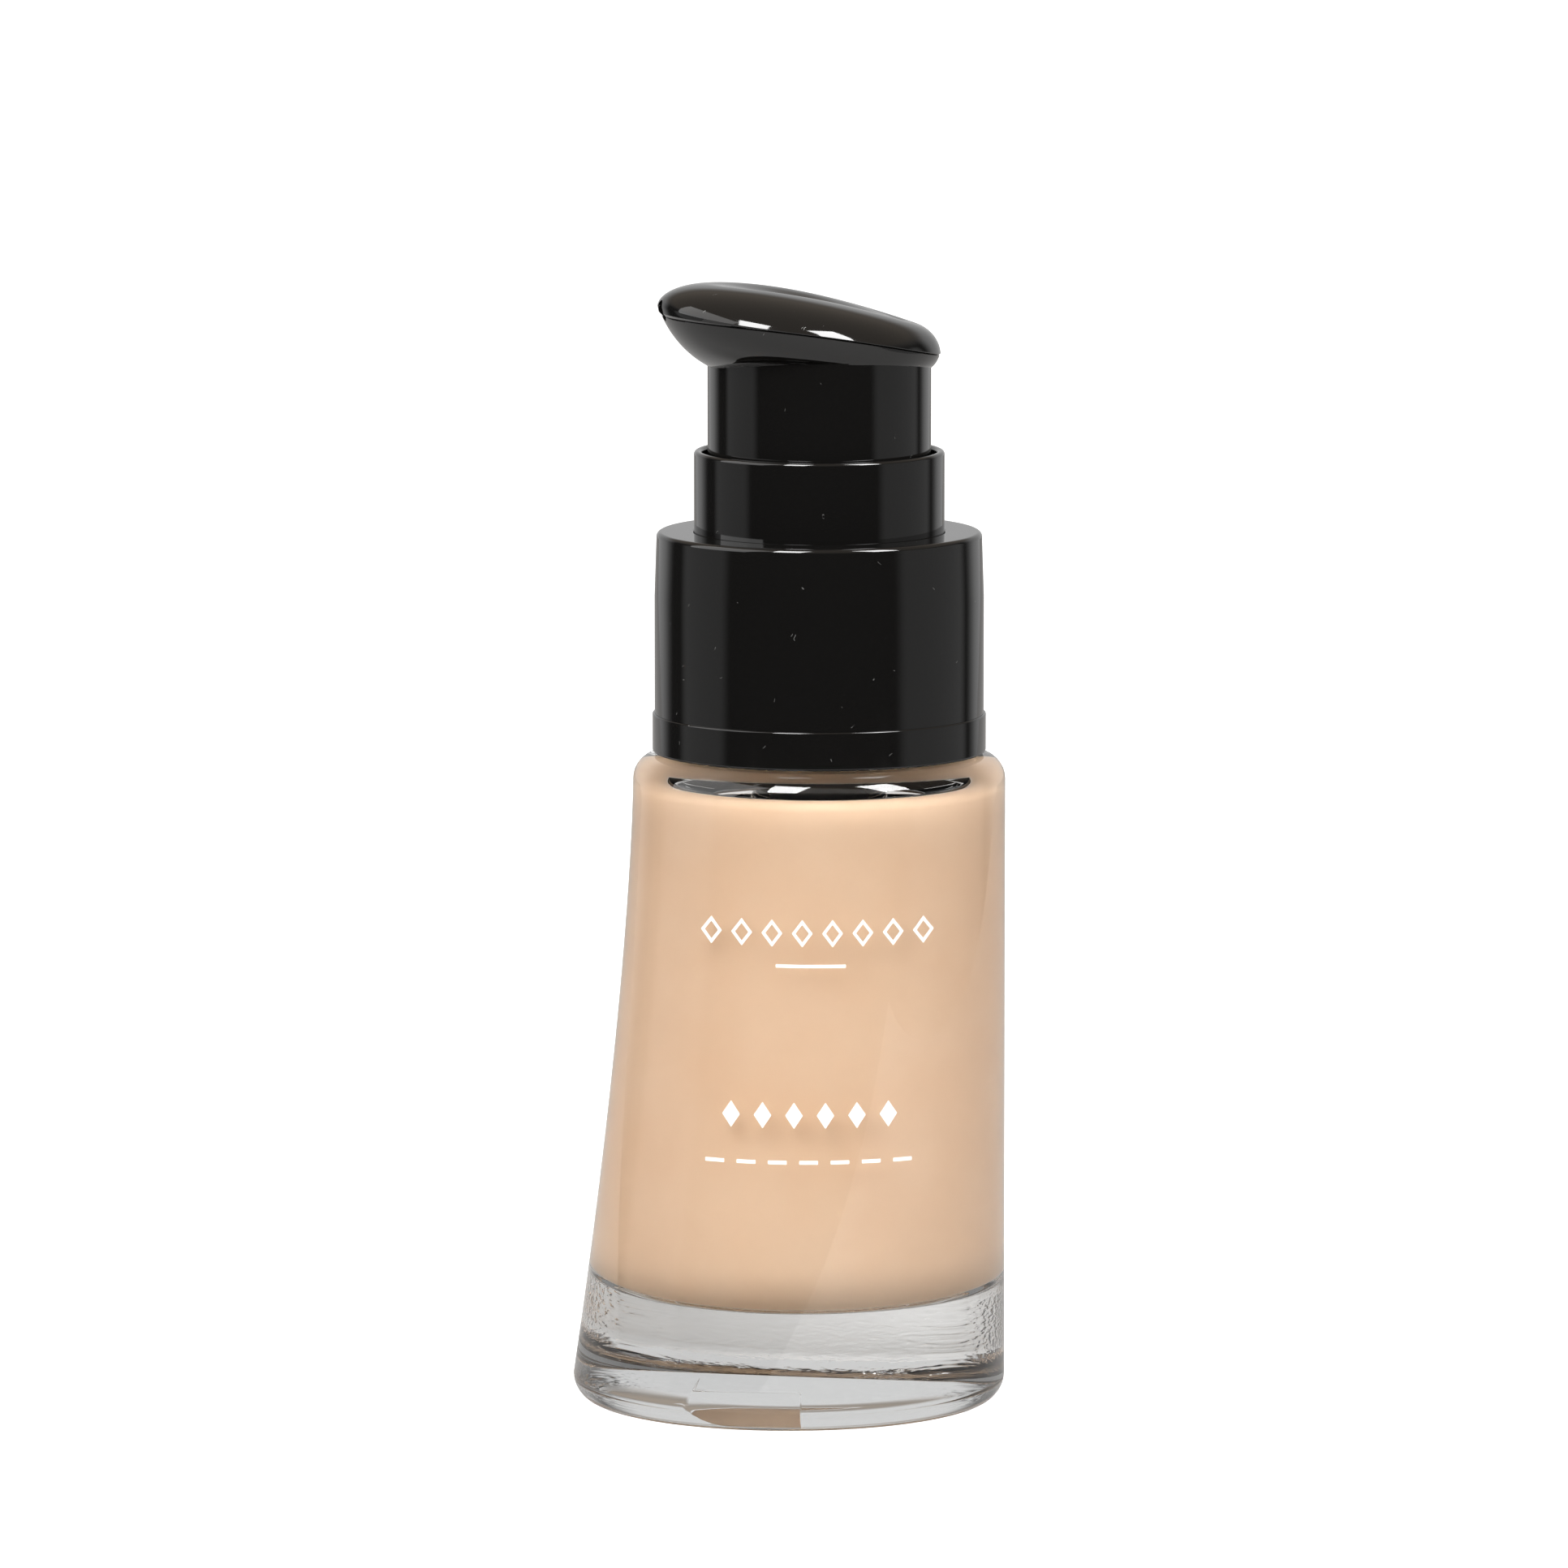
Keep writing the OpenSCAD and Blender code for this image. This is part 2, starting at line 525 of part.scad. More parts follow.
// Socket on the stem, a deck that locates it in the skirt, and the spout that climbs to the nozzle.
module actuator_core() color([0.12, 0.12, 0.12]) at_head() {
    difference() {
        union() {
            translate([0, 0, 86]) cylinder(r = 3.4, h = spout_low_z + 0.9 - 86);
            translate([0, 0, 93.6]) cylinder(r = skirt_d / 2 - skirt_wall - 0.03, h = 0.9);
            spout() cylinder(r = spout_r, h = spout_l / cos(spout_tilt));
            nozzle(-head_reach + 1.3) cylinder(d = outlet_d, h = 2.6);
        }
        translate([0, 0, 86 - eps]) cylinder(r = stem_d / 2, h = stem_top_z + 0.1 - 86);
        translate([0, 0, stem_top_z]) cylinder(r = 1, h = spout_low_z - stem_top_z);
        spout() cylinder(r = 0.55, h = spout_l / cos(spout_tilt));
        nozzle(-head_reach) cylinder(r = 0.6, h = 3.2);
    }
}

glass_bottle();
foundation_fluid();
screw_closure();
collar_shell();
neck_gasket();
pump_housing();
stem_guide();
stem_seal();
dip_tube();
inlet_ball();
pump_spring();
pump_stem();
piston_rod();
pump_piston();
actuator_core();
head_body();
head_cover();
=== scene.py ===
"""Pump bottle for liquid foundation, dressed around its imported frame.

Sizes in the classes are millimetres in the frame's own axes. A mesh is scaled to metres when it is finished.
"""

import logging
import math
from collections.abc import Callable, Iterable, Sequence
from dataclasses import dataclass, field
from enum import Enum

import bmesh
import bpy
from mathutils import Matrix, Vector


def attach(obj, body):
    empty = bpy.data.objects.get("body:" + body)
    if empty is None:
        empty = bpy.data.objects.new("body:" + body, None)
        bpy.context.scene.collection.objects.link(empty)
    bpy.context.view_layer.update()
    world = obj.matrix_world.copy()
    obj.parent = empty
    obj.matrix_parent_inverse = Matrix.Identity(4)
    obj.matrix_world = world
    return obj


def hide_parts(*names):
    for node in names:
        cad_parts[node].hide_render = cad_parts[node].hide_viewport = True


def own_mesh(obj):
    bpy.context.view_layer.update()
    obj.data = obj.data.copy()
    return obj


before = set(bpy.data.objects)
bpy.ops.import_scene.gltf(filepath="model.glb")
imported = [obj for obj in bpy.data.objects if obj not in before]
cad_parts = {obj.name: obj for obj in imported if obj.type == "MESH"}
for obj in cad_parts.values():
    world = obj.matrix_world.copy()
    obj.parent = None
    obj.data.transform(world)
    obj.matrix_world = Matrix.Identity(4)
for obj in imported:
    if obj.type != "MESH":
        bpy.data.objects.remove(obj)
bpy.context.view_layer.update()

LOG = logging.getLogger("foundation_bottle")
MM = 0.001
TOUCH = 1e-4  # millimetres within which two points are one
ON_RING = 1e-3  # millimetres within which a point counts as on a ring
THREAD_STEPS = 48  # faces in one turn of a thread

Point = tuple[float, float]
Station = Callable[[float], Vector]
Colour = Sequence[float] | bpy.types.NodeSocket


# --- shaders --------------------------------------------------------------------------------


class Signal:
    """A number that varies over a surface. Arithmetic on it adds Math nodes."""

    def __init__(self, graph: "Graph", socket: bpy.types.NodeSocket) -> None:
        """Wraps an output socket of a graph."""
        self.graph = graph
        self.socket = socket

    def _math(self, operation: str, first: "Signal | float", second: "Signal | float") -> "Signal":
        """Adds one Math node and returns its value."""
        made = self.graph.node("ShaderNodeMath", {"operation": operation}, {0: first, 1: second})
        return Signal(self.graph, made.outputs["Value"])

    def __add__(self, other: "Signal | float") -> "Signal":
        """The sum."""
        return self._math("ADD", self, other)

    def __radd__(self, other: float) -> "Signal":
        """The sum, with a number on the left."""
        return self._math("ADD", other, self)

    def __sub__(self, other: "Signal | float") -> "Signal":
        """The difference."""
        return self._math("SUBTRACT", self, other)

    def __rsub__(self, other: float) -> "Signal":
        """The difference, with a number on the left."""
        return self._math("SUBTRACT", other, self)

    def __mul__(self, other: "Signal | float") -> "Signal":
        """The product."""
        return self._math("MULTIPLY", self, other)

    def __abs__(self) -> "Signal":
        """The size without its sign."""
        return self._math("ABSOLUTE", self, 0.0)

    def rise(self, low: float, high: float) -> "Signal":
        """A smooth step.

        Args:
            low: where the step is still 0.
            high: where the step has reached 1. It may be less than low, for a step down.

        Returns:
            The step as a number from 0 to 1.
        """
        made = self.graph.node(
            "ShaderNodeMapRange",
            {"interpolation_type": "SMOOTHSTEP"},
            {"Value": self, "From Min": low, "From Max": high},
        )
        return Signal(self.graph, made.outputs["Result"])


class Graph:
    """The node tree of one material or of the world, with its one surface shader."""

    def __init__(self, owner: bpy.types.Material | bpy.types.World) -> None:
        """Starts the tree from the shader that Blender puts in a new one.

        Args:
            owner: the material or the world.
        """
        owner.use_nodes = True
        self.tree = owner.node_tree
        self.shader = next(n for n in self.tree.nodes if n.type in {"BSDF_PRINCIPLED", "BACKGROUND"})
        self._place: bpy.types.Node | None = None

    def node(
        self,
        kind: str,
        settings: dict[str, object] | None = None,
        inputs: dict[str | int, object] | None = None,
    ) -> bpy.types.Node:
        """Adds a node of any type.

        Args:
            kind: the node's type name.
            settings: its properties, which are set first.
            inputs: values, signals or sockets for its inputs, by name or number.

        Returns:
            The new node.
        """
        made = self.tree.nodes.new(kind)
        for name, value in (settings or {}).items():
            setattr(made, name, value)
        for name, value in (inputs or {}).items():
            self.feed(made.inputs[name], value)
        return made

    def feed(self, socket: bpy.types.NodeSocket, value: object) -> None:
        """Gives a socket a value or a link.

        Args:
            socket: the input.
            value: a plain value, a signal or an output socket.
        """
        if isinstance(value, Signal):
            value = value.socket
        if isinstance(value, bpy.types.NodeSocket):
            self.tree.links.new(value, socket)
        else:
            socket.default_value = value

    @property
    def place(self) -> bpy.types.NodeSocket:
        """The point on the piece, in metres.

        Returns:
            The coordinates, as a socket.
        """
        if self._place is None:
            self._place = self.node("ShaderNodeTexCoord")
        return self._place.outputs["Object"]

    def stretched(self, scale: Sequence[float]) -> bpy.types.NodeSocket:
        """The point on the piece, scaled by different amounts along the axes."""
        made = self.node("ShaderNodeMapping", None, {"Vector": self.place, "Scale": scale})
        return made.outputs["Vector"]

    def axis(self, name: str) -> Signal:
        """The piece's X, Y or Z, in metres."""
        return Signal(self, self.node("ShaderNodeSeparateXYZ", None, {0: self.place}).outputs[name])

    def noise(self, size: float, detail: float = 2.0, vector: bpy.types.NodeSocket | None = None) -> Signal:
        """Soft noise from 0 to 1.

        Args:
            size: the size of its patches, in millimetres.
            detail: how much finer noise is added.
            vector: the coordinates, if not the plain ones.

        Returns:
            The noise.
        """
        made = self.node(
            "ShaderNodeTexNoise", None,
            {"Vector": vector or self.place, "Scale": 1.0 / (size * MM), "Detail": detail},
        )
        return Signal(self, made.outputs["Fac"])

    def specks(self, spacing: float, radius: float, share: float) -> Signal:
        """A mask of scattered round specks.

        Args:
            spacing: the size of the cells that may hold a speck, in millimetres.
            radius: the radius of a speck, in millimetres.
            share: the share of the cells that hold one.

        Returns:
            1 in a speck and 0 elsewhere.
        """
        cells = self.node("ShaderNodeTexVoronoi", None, {"Vector": self.place, "Scale": 1.0 / (spacing * MM)})
        parts = self.node("ShaderNodeSeparateColor", None, {0: cells.outputs["Color"]})
        pick = Signal(self, parts.outputs[0])
        edge = radius / spacing
        return Signal(self, cells.outputs["Distance"]).rise(edge, edge * 0.6) * pick.rise(share, share - 0.01)

    def blend(self, amount: Signal, low: Colour, high: Colour) -> bpy.types.NodeSocket:
        """A colour between two colours, each of them plain or a socket.

        Args:
            amount: 0 for the first colour and 1 for the second.
            low: the first colour.
            high: the second colour.

        Returns:
            The colour between them, as a socket.
        """
        pair = [c if isinstance(c, bpy.types.NodeSocket) else (*c, 1.0) for c in (low, high)]
        made = self.node("ShaderNodeMix", {"data_type": "RGBA"}, {0: amount, 6: pair[0], 7: pair[1]})
        return made.outputs[2]

    def bump(self, height: Signal, distance: float) -> None:
        """Feeds the shader's normal from a height.

        Args:
            height: the height, from 0 to 1.
            distance: what a height of 1 stands for, in millimetres.
        """
        made = self.node(
            "ShaderNodeBump", None,
            {"Height": height, "Distance": distance * MM, "Strength": 1.0},
        )
        self.feed(self.shader.inputs["Normal"], made.outputs["Normal"])


@dataclass(frozen=True)
class Finish:
    """A material of the bottle. A subclass says how it is painted."""

    name: str

    def material(self) -> bpy.types.Material:
        """The Blender material, which is made the first time that it is asked for.

        Returns:
            The material.
        """
        made = bpy.data.materials.get(self.name)
        if made is None:
            made = bpy.data.materials.new(self.name)
            self.paint(Graph(made))
        return made

    def paint(self, graph: Graph) -> None:
        """Sets up the nodes of a new material."""
        raise NotImplementedError


@dataclass(frozen=True)
class PolishedPlastic(Finish):
    """Glossy black moulded plastic, a little wavy, with handling scuffs and dust."""

    colour: tuple[float, float, float] = (0.0042, 0.0040, 0.0038)
    roughness: float = 0.06
    wave: float = 5.0
    wave_height: float = 0.004
    dust: float = 0.16

    def paint(self, graph: Graph) -> None:
        """Feeds colour, roughness and a shallow bump.

        Args:
            graph: the new material's nodes.
        """
        shader = graph.shader
        shader.inputs["IOR"].default_value = 1.52
        smear = graph.noise(9.0, 3.0).rise(0.56, 0.74)
        scuff = graph.noise(0.35, 2.0, graph.stretched((1.0, 1.0, 0.12))).rise(0.62, 0.78) * smear
        specks = graph.specks(3.2, 0.075, self.dust)
        line = abs(graph.noise(1.1, 1.0) - 0.5).rise(0.012, 0.004)
        lint = line * graph.noise(0.9, 0.0).rise(0.8, 0.82)
        dirt = specks + lint
        tone = graph.blend(dirt * 0.55, self.colour, (0.16, 0.16, 0.155))
        graph.feed(shader.inputs["Base Color"], tone)
        rough = self.roughness + smear * 0.03 + scuff * 0.08 + dirt * 0.4
        graph.feed(shader.inputs["Roughness"], rough)
        height = graph.noise(self.wave, 1.0) + dirt * 0.6
        graph.bump(height, self.wave_height)


@dataclass(frozen=True)
class ClearGlass(Finish):
    """Pressed clear glass, a little wavy, with the pebbled skin of the mould round the back of its foot."""

    tint: tuple[float, float, float] = (0.985, 0.992, 0.99)
    ior: float = 1.52
    pebble: float = 0.35
    pebble_height: float = 0.018
    pebble_top: float = 8.0
    foot_r: float = 15.6
    rear_y: tuple[float, float] = (9.0, 17.0)
    wave: float = 14.0
    wave_share: float = 0.1

    def paint(self, graph: Graph) -> None:
        """Keeps the glass constant and shapes only its normal.

        Args:
            graph: the new material's nodes.
        """
        shader = graph.shader
        shader.inputs["Base Color"].default_value = (*self.tint, 1.0)
        shader.inputs["Roughness"].default_value = 0.0
        shader.inputs["IOR"].default_value = self.ior
        shader.inputs["Transmission Weight"].default_value = 1.0
        low = graph.axis("Z").rise(self.pebble_top * MM, self.pebble_top * MM * 0.8)
        across, along = graph.axis("X"), graph.axis("Y")
        reach = across * across + along * along
        outside = reach.rise((self.foot_r * MM) ** 2, (self.foot_r * MM * 1.04) ** 2)
        rear = along.rise(self.rear_y[0] * MM, self.rear_y[1] * MM)
        grain = graph.noise(self.pebble, 1.5).rise(0.3, 0.7)
        wave = graph.noise(self.wave, 1.0) * self.wave_share
        graph.bump(grain * low * outside * rear + wave, self.pebble_height)


@dataclass(frozen=True)
class SkinTone(Finish):
    """Opaque liquid foundation that wets the glass, and mirrors a glancing look from inside the glass."""

    colour: tuple[float, float, float] = (0.86, 0.61, 0.41)
    pale: tuple[float, float, float] = (0.89, 0.65, 0.45)
    step: float = 0.934  # the liquid's refractive index over the glass's

    def paint(self, graph: Graph) -> None:
        """Feeds a nearly even colour with faint clouding, and the mirror at glancing angles.

        Args:
            graph: the new material's nodes.
        """
        shader = graph.shader
        shader.inputs["Specular IOR Level"].default_value = 0.0
        cloud = graph.noise(11.0, 3.0).rise(0.3, 0.7)
        mirror = Signal(graph, graph.node("ShaderNodeFresnel", None, {"IOR": self.step}).outputs[0])
        tone = graph.blend(cloud, self.colour, self.pale)
        graph.feed(shader.inputs["Base Color"], graph.blend(mirror, tone, (1.0, 1.0, 1.0)))
        graph.feed(shader.inputs["Metallic"], mirror)
        graph.feed(shader.inputs["Roughness"], (0.6 + cloud * 0.05) * (1.0 - mirror))


@dataclass(frozen=True)
class MouldedPlastic(Finish):
    """Plain moulded plastic for the working parts, with flow marks."""

    colour: tuple[float, float, float] = (0.80, 0.81, 0.81)
    shade: tuple[float, float, float] = (0.70, 0.72, 0.73)
    roughness: float = 0.38
    grain: float = 0.5

    def paint(self, graph: Graph) -> None:
        """Feeds clouded colour, roughness and a fine grain.

        Args:
            graph: the new material's nodes.
        """
        shader = graph.shader
        flow = graph.noise(3.0, 3.0, graph.stretched((1.0, 1.0, 0.35)))
        graph.feed(shader.inputs["Base Color"], graph.blend(flow, self.colour, self.shade))
        graph.feed(shader.inputs["Roughness"], self.roughness + flow * 0.12)
        graph.bump(graph.noise(self.grain, 2.0), 0.006)


@dataclass(frozen=True)
class SpringWire(Finish):
    """Drawn steel wire with fine lines along the coil."""

    colour: tuple[float, float, float] = (0.62, 0.62, 0.63)

    def paint(self, graph: Graph) -> None:
        """Feeds metal with drawn lines.

        Args:
            graph: the new material's nodes.
        """
        shader = graph.shader
        shader.inputs["Metallic"].default_value = 1.0
        drawn = graph.noise(0.6, 2.0, graph.stretched((0.3, 0.3, 8.0)))
        graph.feed(shader.inputs["Base Color"], graph.blend(drawn, self.colour, (0.5, 0.5, 0.51)))
        graph.feed(shader.inputs["Roughness"], 0.22 + drawn * 0.15)
        graph.bump(drawn, 0.004)


@dataclass(frozen=True)
class BallGlass(Finish):
    """The ground glass of the inlet ball."""

    def paint(self, graph: Graph) -> None:
        """Feeds fine grinding marks.

        Args:
            graph: the new material's nodes.
        """
        shader = graph.shader
        shader.inputs["IOR"].default_value = 1.5
        ground = graph.noise(0.2, 2.0)
        graph.feed(shader.inputs["Base Color"], graph.blend(ground, (0.72, 0.8, 0.8), (0.6, 0.69, 0.7)))
        graph.feed(shader.inputs["Roughness"], 0.12 + ground * 0.1)
        graph.bump(ground, 0.002)


@dataclass(frozen=True)
class ScreenInk(Finish):
    """White ink, printed on the glass through a mesh."""

    colour: tuple[float, float, float] = (0.92, 0.92, 0.91)

    def paint(self, graph: Graph) -> None:
        """Feeds white with the faint unevenness of the mesh.

        Args:
            graph: the new material's nodes.
        """
        shader = graph.shader
        mesh = graph.noise(0.18, 2.0)
        graph.feed(shader.inputs["Base Color"], graph.blend(mesh, self.colour, (0.85, 0.85, 0.84)))
        graph.feed(shader.inputs["Roughness"], 0.4 + mesh * 0.15)
        graph.bump(mesh, 0.004)


class Palette(Enum):
    """The finishes of the bottle."""

    GLASS = ClearGlass("clear_pressed_glass")
    FLUID = SkinTone("beige_foundation")
    COLLAR = PolishedPlastic("polished_black_collar")
    HEAD = PolishedPlastic("polished_black_head", wave=7.0, wave_height=0.003, dust=0.07)
    CORE = MouldedPlastic("black_core", (0.012, 0.012, 0.012), (0.02, 0.02, 0.02), 0.3)
    WORKS = MouldedPlastic("natural_pump_plastic")
    TUBE = MouldedPlastic("natural_dip_tube", (0.78, 0.8, 0.79), (0.7, 0.73, 0.72), 0.3, 0.8)
    SEAL = MouldedPlastic("sealing_foam", (0.8, 0.79, 0.75), (0.7, 0.69, 0.65), 0.7, 0.15)
    WIRE = SpringWire("drawn_spring_wire")
    BALL = BallGlass("ground_ball_glass")
    INK = ScreenInk("white_screen_ink")


# --- shapes ---------------------------------------------------------------------------------


@dataclass
class Lathe:
    """Turns half sections round an upright axis and lofts rings that aren't round."""

    segments: int = 160

    def turn(self, outline: Sequence[Point], rounds: dict[Point, float], steps: int = 6) -> bmesh.types.BMesh:
        """Makes a closed solid of revolution.

        Args:
            outline: corners of the half section, as radius and height. It closes by itself unless both
                ends are on the axis.
            rounds: the rounding radius at some of those corners.
            steps: faces across each rounding.

        Returns:
            The solid, in millimetres round the origin's axis.
        """
        shape = bmesh.new()
        corners = [shape.verts.new((r, 0.0, z)) for r, z in outline]
        lines = [shape.edges.new(pair) for pair in zip(corners, corners[1:])]
        if outline[0][0] > TOUCH or outline[-1][0] > TOUCH:
            lines.append(shape.edges.new((corners[-1], corners[0])))
        self._spin(shape, corners + lines)
        for (radius, height), size in rounds.items():
            ring = [e for e in shape.edges if all(self._on(v, radius, height) for v in e.verts)]
            bmesh.ops.bevel(
                shape, geom=ring, offset=size, offset_type="OFFSET", affect="EDGES",
                segments=steps, profile=0.5, material=-1,
            )
        bmesh.ops.recalc_face_normals(shape, faces=shape.faces)
        return shape

    def loft(self, stations: Sequence[Station], poles: bool) -> bmesh.types.BMesh:
        """Makes a closed skin over rings that are given as functions of the angle.

        Args:
            stations: one function for each ring, in order along the skin.
            poles: True if the first and last rings are points. Otherwise the last ring joins the first.

        Returns:
            The skin, in millimetres.
        """
        shape = bmesh.new()
        mark = shape.verts.layers.int.new("station")
        count = len(stations)
        corners = []
        for index in range(count):
            turn = math.tau * index / count
            at_pole = poles and index in (0, count - 1)
            if poles:
                start = (0.0 if at_pole else 1.0, 0.0, index)
            else:
                start = (3.0 + math.cos(turn), 0.0, math.sin(turn))
            corner = shape.verts.new(start)
            corner[mark] = index
            corners.append(corner)
        lines = [shape.edges.new(pair) for pair in zip(corners, corners[1:])]
        if not poles:
            lines.append(shape.edges.new((corners[-1], corners[0])))
        self._spin(shape, corners + lines)
        for vert in shape.verts:
            vert.co = stations[vert[mark]](math.atan2(vert.co.y, vert.co.x))
        bmesh.ops.recalc_face_normals(shape, faces=shape.faces)
        return shape

    def _spin(self, shape: bmesh.types.BMesh, parts: list) -> None:
        """Spins the half section all the way round and joins the seam and the poles.

        Args:
            shape: the mesh that holds the half section.
            parts: its corners and lines.
        """
        bmesh.ops.spin(
            shape, geom=parts, cent=(0, 0, 0), axis=(0, 0, 1), dvec=(0, 0, 0), angle=math.tau,
            steps=self.segments, use_merge=True, use_normal_flip=False, use_duplicate=False,
        )
        bmesh.ops.remove_doubles(shape, verts=shape.verts, dist=TOUCH)

    @staticmethod
    def _on(vert: bmesh.types.BMVert, radius: float, height: float) -> bool:
        """True for a point on the ring of that radius and height."""
        reach = math.hypot(vert.co.x, vert.co.y)
        return abs(reach - radius) < ON_RING and abs(vert.co.z - height) < ON_RING

    @staticmethod
    def thread(section: Sequence[Point], rise: float, turns: float, start: float) -> bmesh.types.BMesh:
        """Sweeps a ridge up a helix.

        Args:
            section: the corners of the ridge, as radius and height.
            rise: how far it climbs in one turn.
            turns: the number of turns.
            start: the height at which it begins.

        Returns:
            The ridge, closed at its ends.
        """
        shape = bmesh.new()
        corners = [shape.verts.new((r, 0.0, z + start)) for r, z in section]
        face = shape.faces.new(corners)
        bmesh.ops.spin(
            shape, geom=[face, *face.edges, *face.verts], cent=(0, 0, 0), axis=(0, 0, 1),
            dvec=(0, 0, rise / THREAD_STEPS), angle=math.tau * turns, steps=round(THREAD_STEPS * turns),
            use_merge=False, use_normal_flip=False, use_duplicate=False,
        )
        bmesh.ops.recalc_face_normals(shape, faces=shape.faces)
        return shape


def add_to(shape: bmesh.types.BMesh, other: bmesh.types.BMesh) -> None:
    """Copies one mesh into another and frees it.

    Args:
        shape: the mesh that grows.
        other: the mesh that is copied. It is freed.
    """
    spare = bpy.data.meshes.new("spare")
    other.to_mesh(spare)
    other.free()
    shape.from_mesh(spare)
    bpy.data.meshes.remove(spare)


def box(low: Sequence[float], high: Sequence[float], place: Matrix) -> bmesh.types.BMesh:
    """Makes a block between two corners, and puts it in place.

    Args:
        low: its lowest corner.
        high: its highest corner.
        place: where that corner system goes.

    Returns:
        The block.
    """
    shape = bmesh.new()
    bmesh.ops.create_cube(shape, size=1.0)
    size = Vector(high) - Vector(low)
    bmesh.ops.scale(shape, vec=size, verts=shape.verts)
    bmesh.ops.translate(shape, vec=(Vector(high) + Vector(low)) / 2, verts=shape.verts)
    bmesh.ops.transform(shape, matrix=place, verts=shape.verts)
    return shape


@dataclass
class Piece:
    """A finished mesh on its way into the scene."""

    name: str
    shape: bmesh.types.BMesh
    finish: Palette
    body: str
    slot: str
    replaces: tuple[str, ...] = ()
    cutters: list[bmesh.types.BMesh] = field(default_factory=list)
    sharp: float = 32.0

    def place(self) -> bpy.types.Object:
        """Makes the object, carves it, shades it and lets it ride on its body.

        Returns:
            The object in the scene.
        """
        made = self._object(self.name, self.shape)
        for index, cutter in enumerate(self.cutters):
            self._carve(made, self._object(f"{self.name}_cutter_{index}", cutter))
        self._shade(made)
        made.data.materials.append(self.finish.value.material())
        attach(made, self.body)
        if self.replaces:
            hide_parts(*self.replaces)
        LOG.info("%s rides on %s with %d faces", self.name, self.body, len(made.data.polygons))
        return made

    @staticmethod
    def _object(name: str, shape: bmesh.types.BMesh) -> bpy.types.Object:
        """Writes the mesh in metres and links an object for it.

        Args:
            name: the object's name.
            shape: the mesh, in millimetres. It is freed.

        Returns:
            The object.
        """
        bmesh.ops.scale(shape, vec=(MM, MM, MM), verts=shape.verts)
        data = bpy.data.meshes.new(name)
        shape.to_mesh(data)
        shape.free()
        made = bpy.data.objects.new(name, data)
        bpy.context.scene.collection.objects.link(made)
        return made

    @staticmethod
    def _carve(made: bpy.types.Object, cutter: bpy.types.Object) -> None:
        """Takes the cutter's space out of the object.

        Args:
            made: the object.
            cutter: the space to take out. It is removed.
        """
        cut = made.modifiers.new("carve", "BOOLEAN")
        cut.operation, cut.solver, cut.object = "DIFFERENCE", "EXACT", cutter
        bpy.context.view_layer.update()
        solved = made.evaluated_get(bpy.context.evaluated_depsgraph_get())
        carved = bpy.data.meshes.new_from_object(solved)
        made.modifiers.remove(cut)
        old = made.data
        made.data = carved
        carved.name = made.name
        bpy.data.meshes.remove(old)
        bpy.data.objects.remove(cutter)

    def _shade(self, made: bpy.types.Object) -> None:
        """Shades the surface smooth, with crisp edges where it turns sharply.

        Args:
            made: the object.
        """
        shape = bmesh.new()
        shape.from_mesh(made.data)
        limit = math.radians(self.sharp)
        for face in shape.faces:
            face.smooth = True
        for edge in shape.edges:
            edge.smooth = len(edge.link_faces) == 2 and edge.calc_face_angle(0.0) < limit
        shape.to_mesh(made.data)
        shape.free()
        weigh = made.modifiers.new("even_shading", "WEIGHTED_NORMAL")
        weigh.keep_sharp = True
        weigh.weight = 60


# --- the bottle -----------------------------------------------------------------------------


@dataclass
class Flare:
    """How the round levels of the glass grow and lean towards one side on their way down."""

    base_r: float = 20.0
    neck_x: float = 2.8
    heel_z: float = 2.4
    wall_top_z: float = 58.05
    power: float = 1.45
    still_r: float = 6.0

    def shrink(self, z: float) -> float:
        """How much smaller than the base the level at height z is, in radius."""
        drop = max(0.0, min(1.0, (self.wall_top_z - z) / (self.wall_top_z - self.heel_z)))
        return self.neck_x * (1.0 - drop**self.power)

    def radius(self, z: float) -> float:
        """The outer radius of the glass at height z."""
        return self.base_r - self.shrink(z)

    def lean(self, shape: bmesh.types.BMesh) -> bmesh.types.BMesh:
        """Turns a straight turned solid, made round the base's axis, into the leaning one.

        Args:
            shape: the solid, whose radii are the real ones plus the shrink at their height.

        Returns:
            The same solid, changed.
        """
        for vert in shape.verts:
            shrink = self.shrink(vert.co.z)
            reach = math.hypot(vert.co.x, vert.co.y)
            if reach > TOUCH:
                near = min(1.0, reach / self.still_r)
                keep = (reach - shrink * near * near * (3.0 - 2.0 * near)) / reach
                vert.co.x *= keep
                vert.co.y *= keep
            vert.co.x += shrink
        return shape

    def front(self, x: float, z: float, lift: float) -> Vector:
        """The point on the front of the glass at x and z, lifted off it by a little.

        Args:
            x: the place across the bottle.
            z: the height.
            lift: how far off the glass.

        Returns:
            The point.
        """
        radius = self.radius(z) + lift
        across = x - self.shrink(z)
        return Vector((x, -math.sqrt(radius * radius - across * across), z))


class Mark(Enum):
    """The plain shapes of the print."""

    LOZENGE = "lozenge"
    OUTLINE = "outline"
    BAR = "bar"


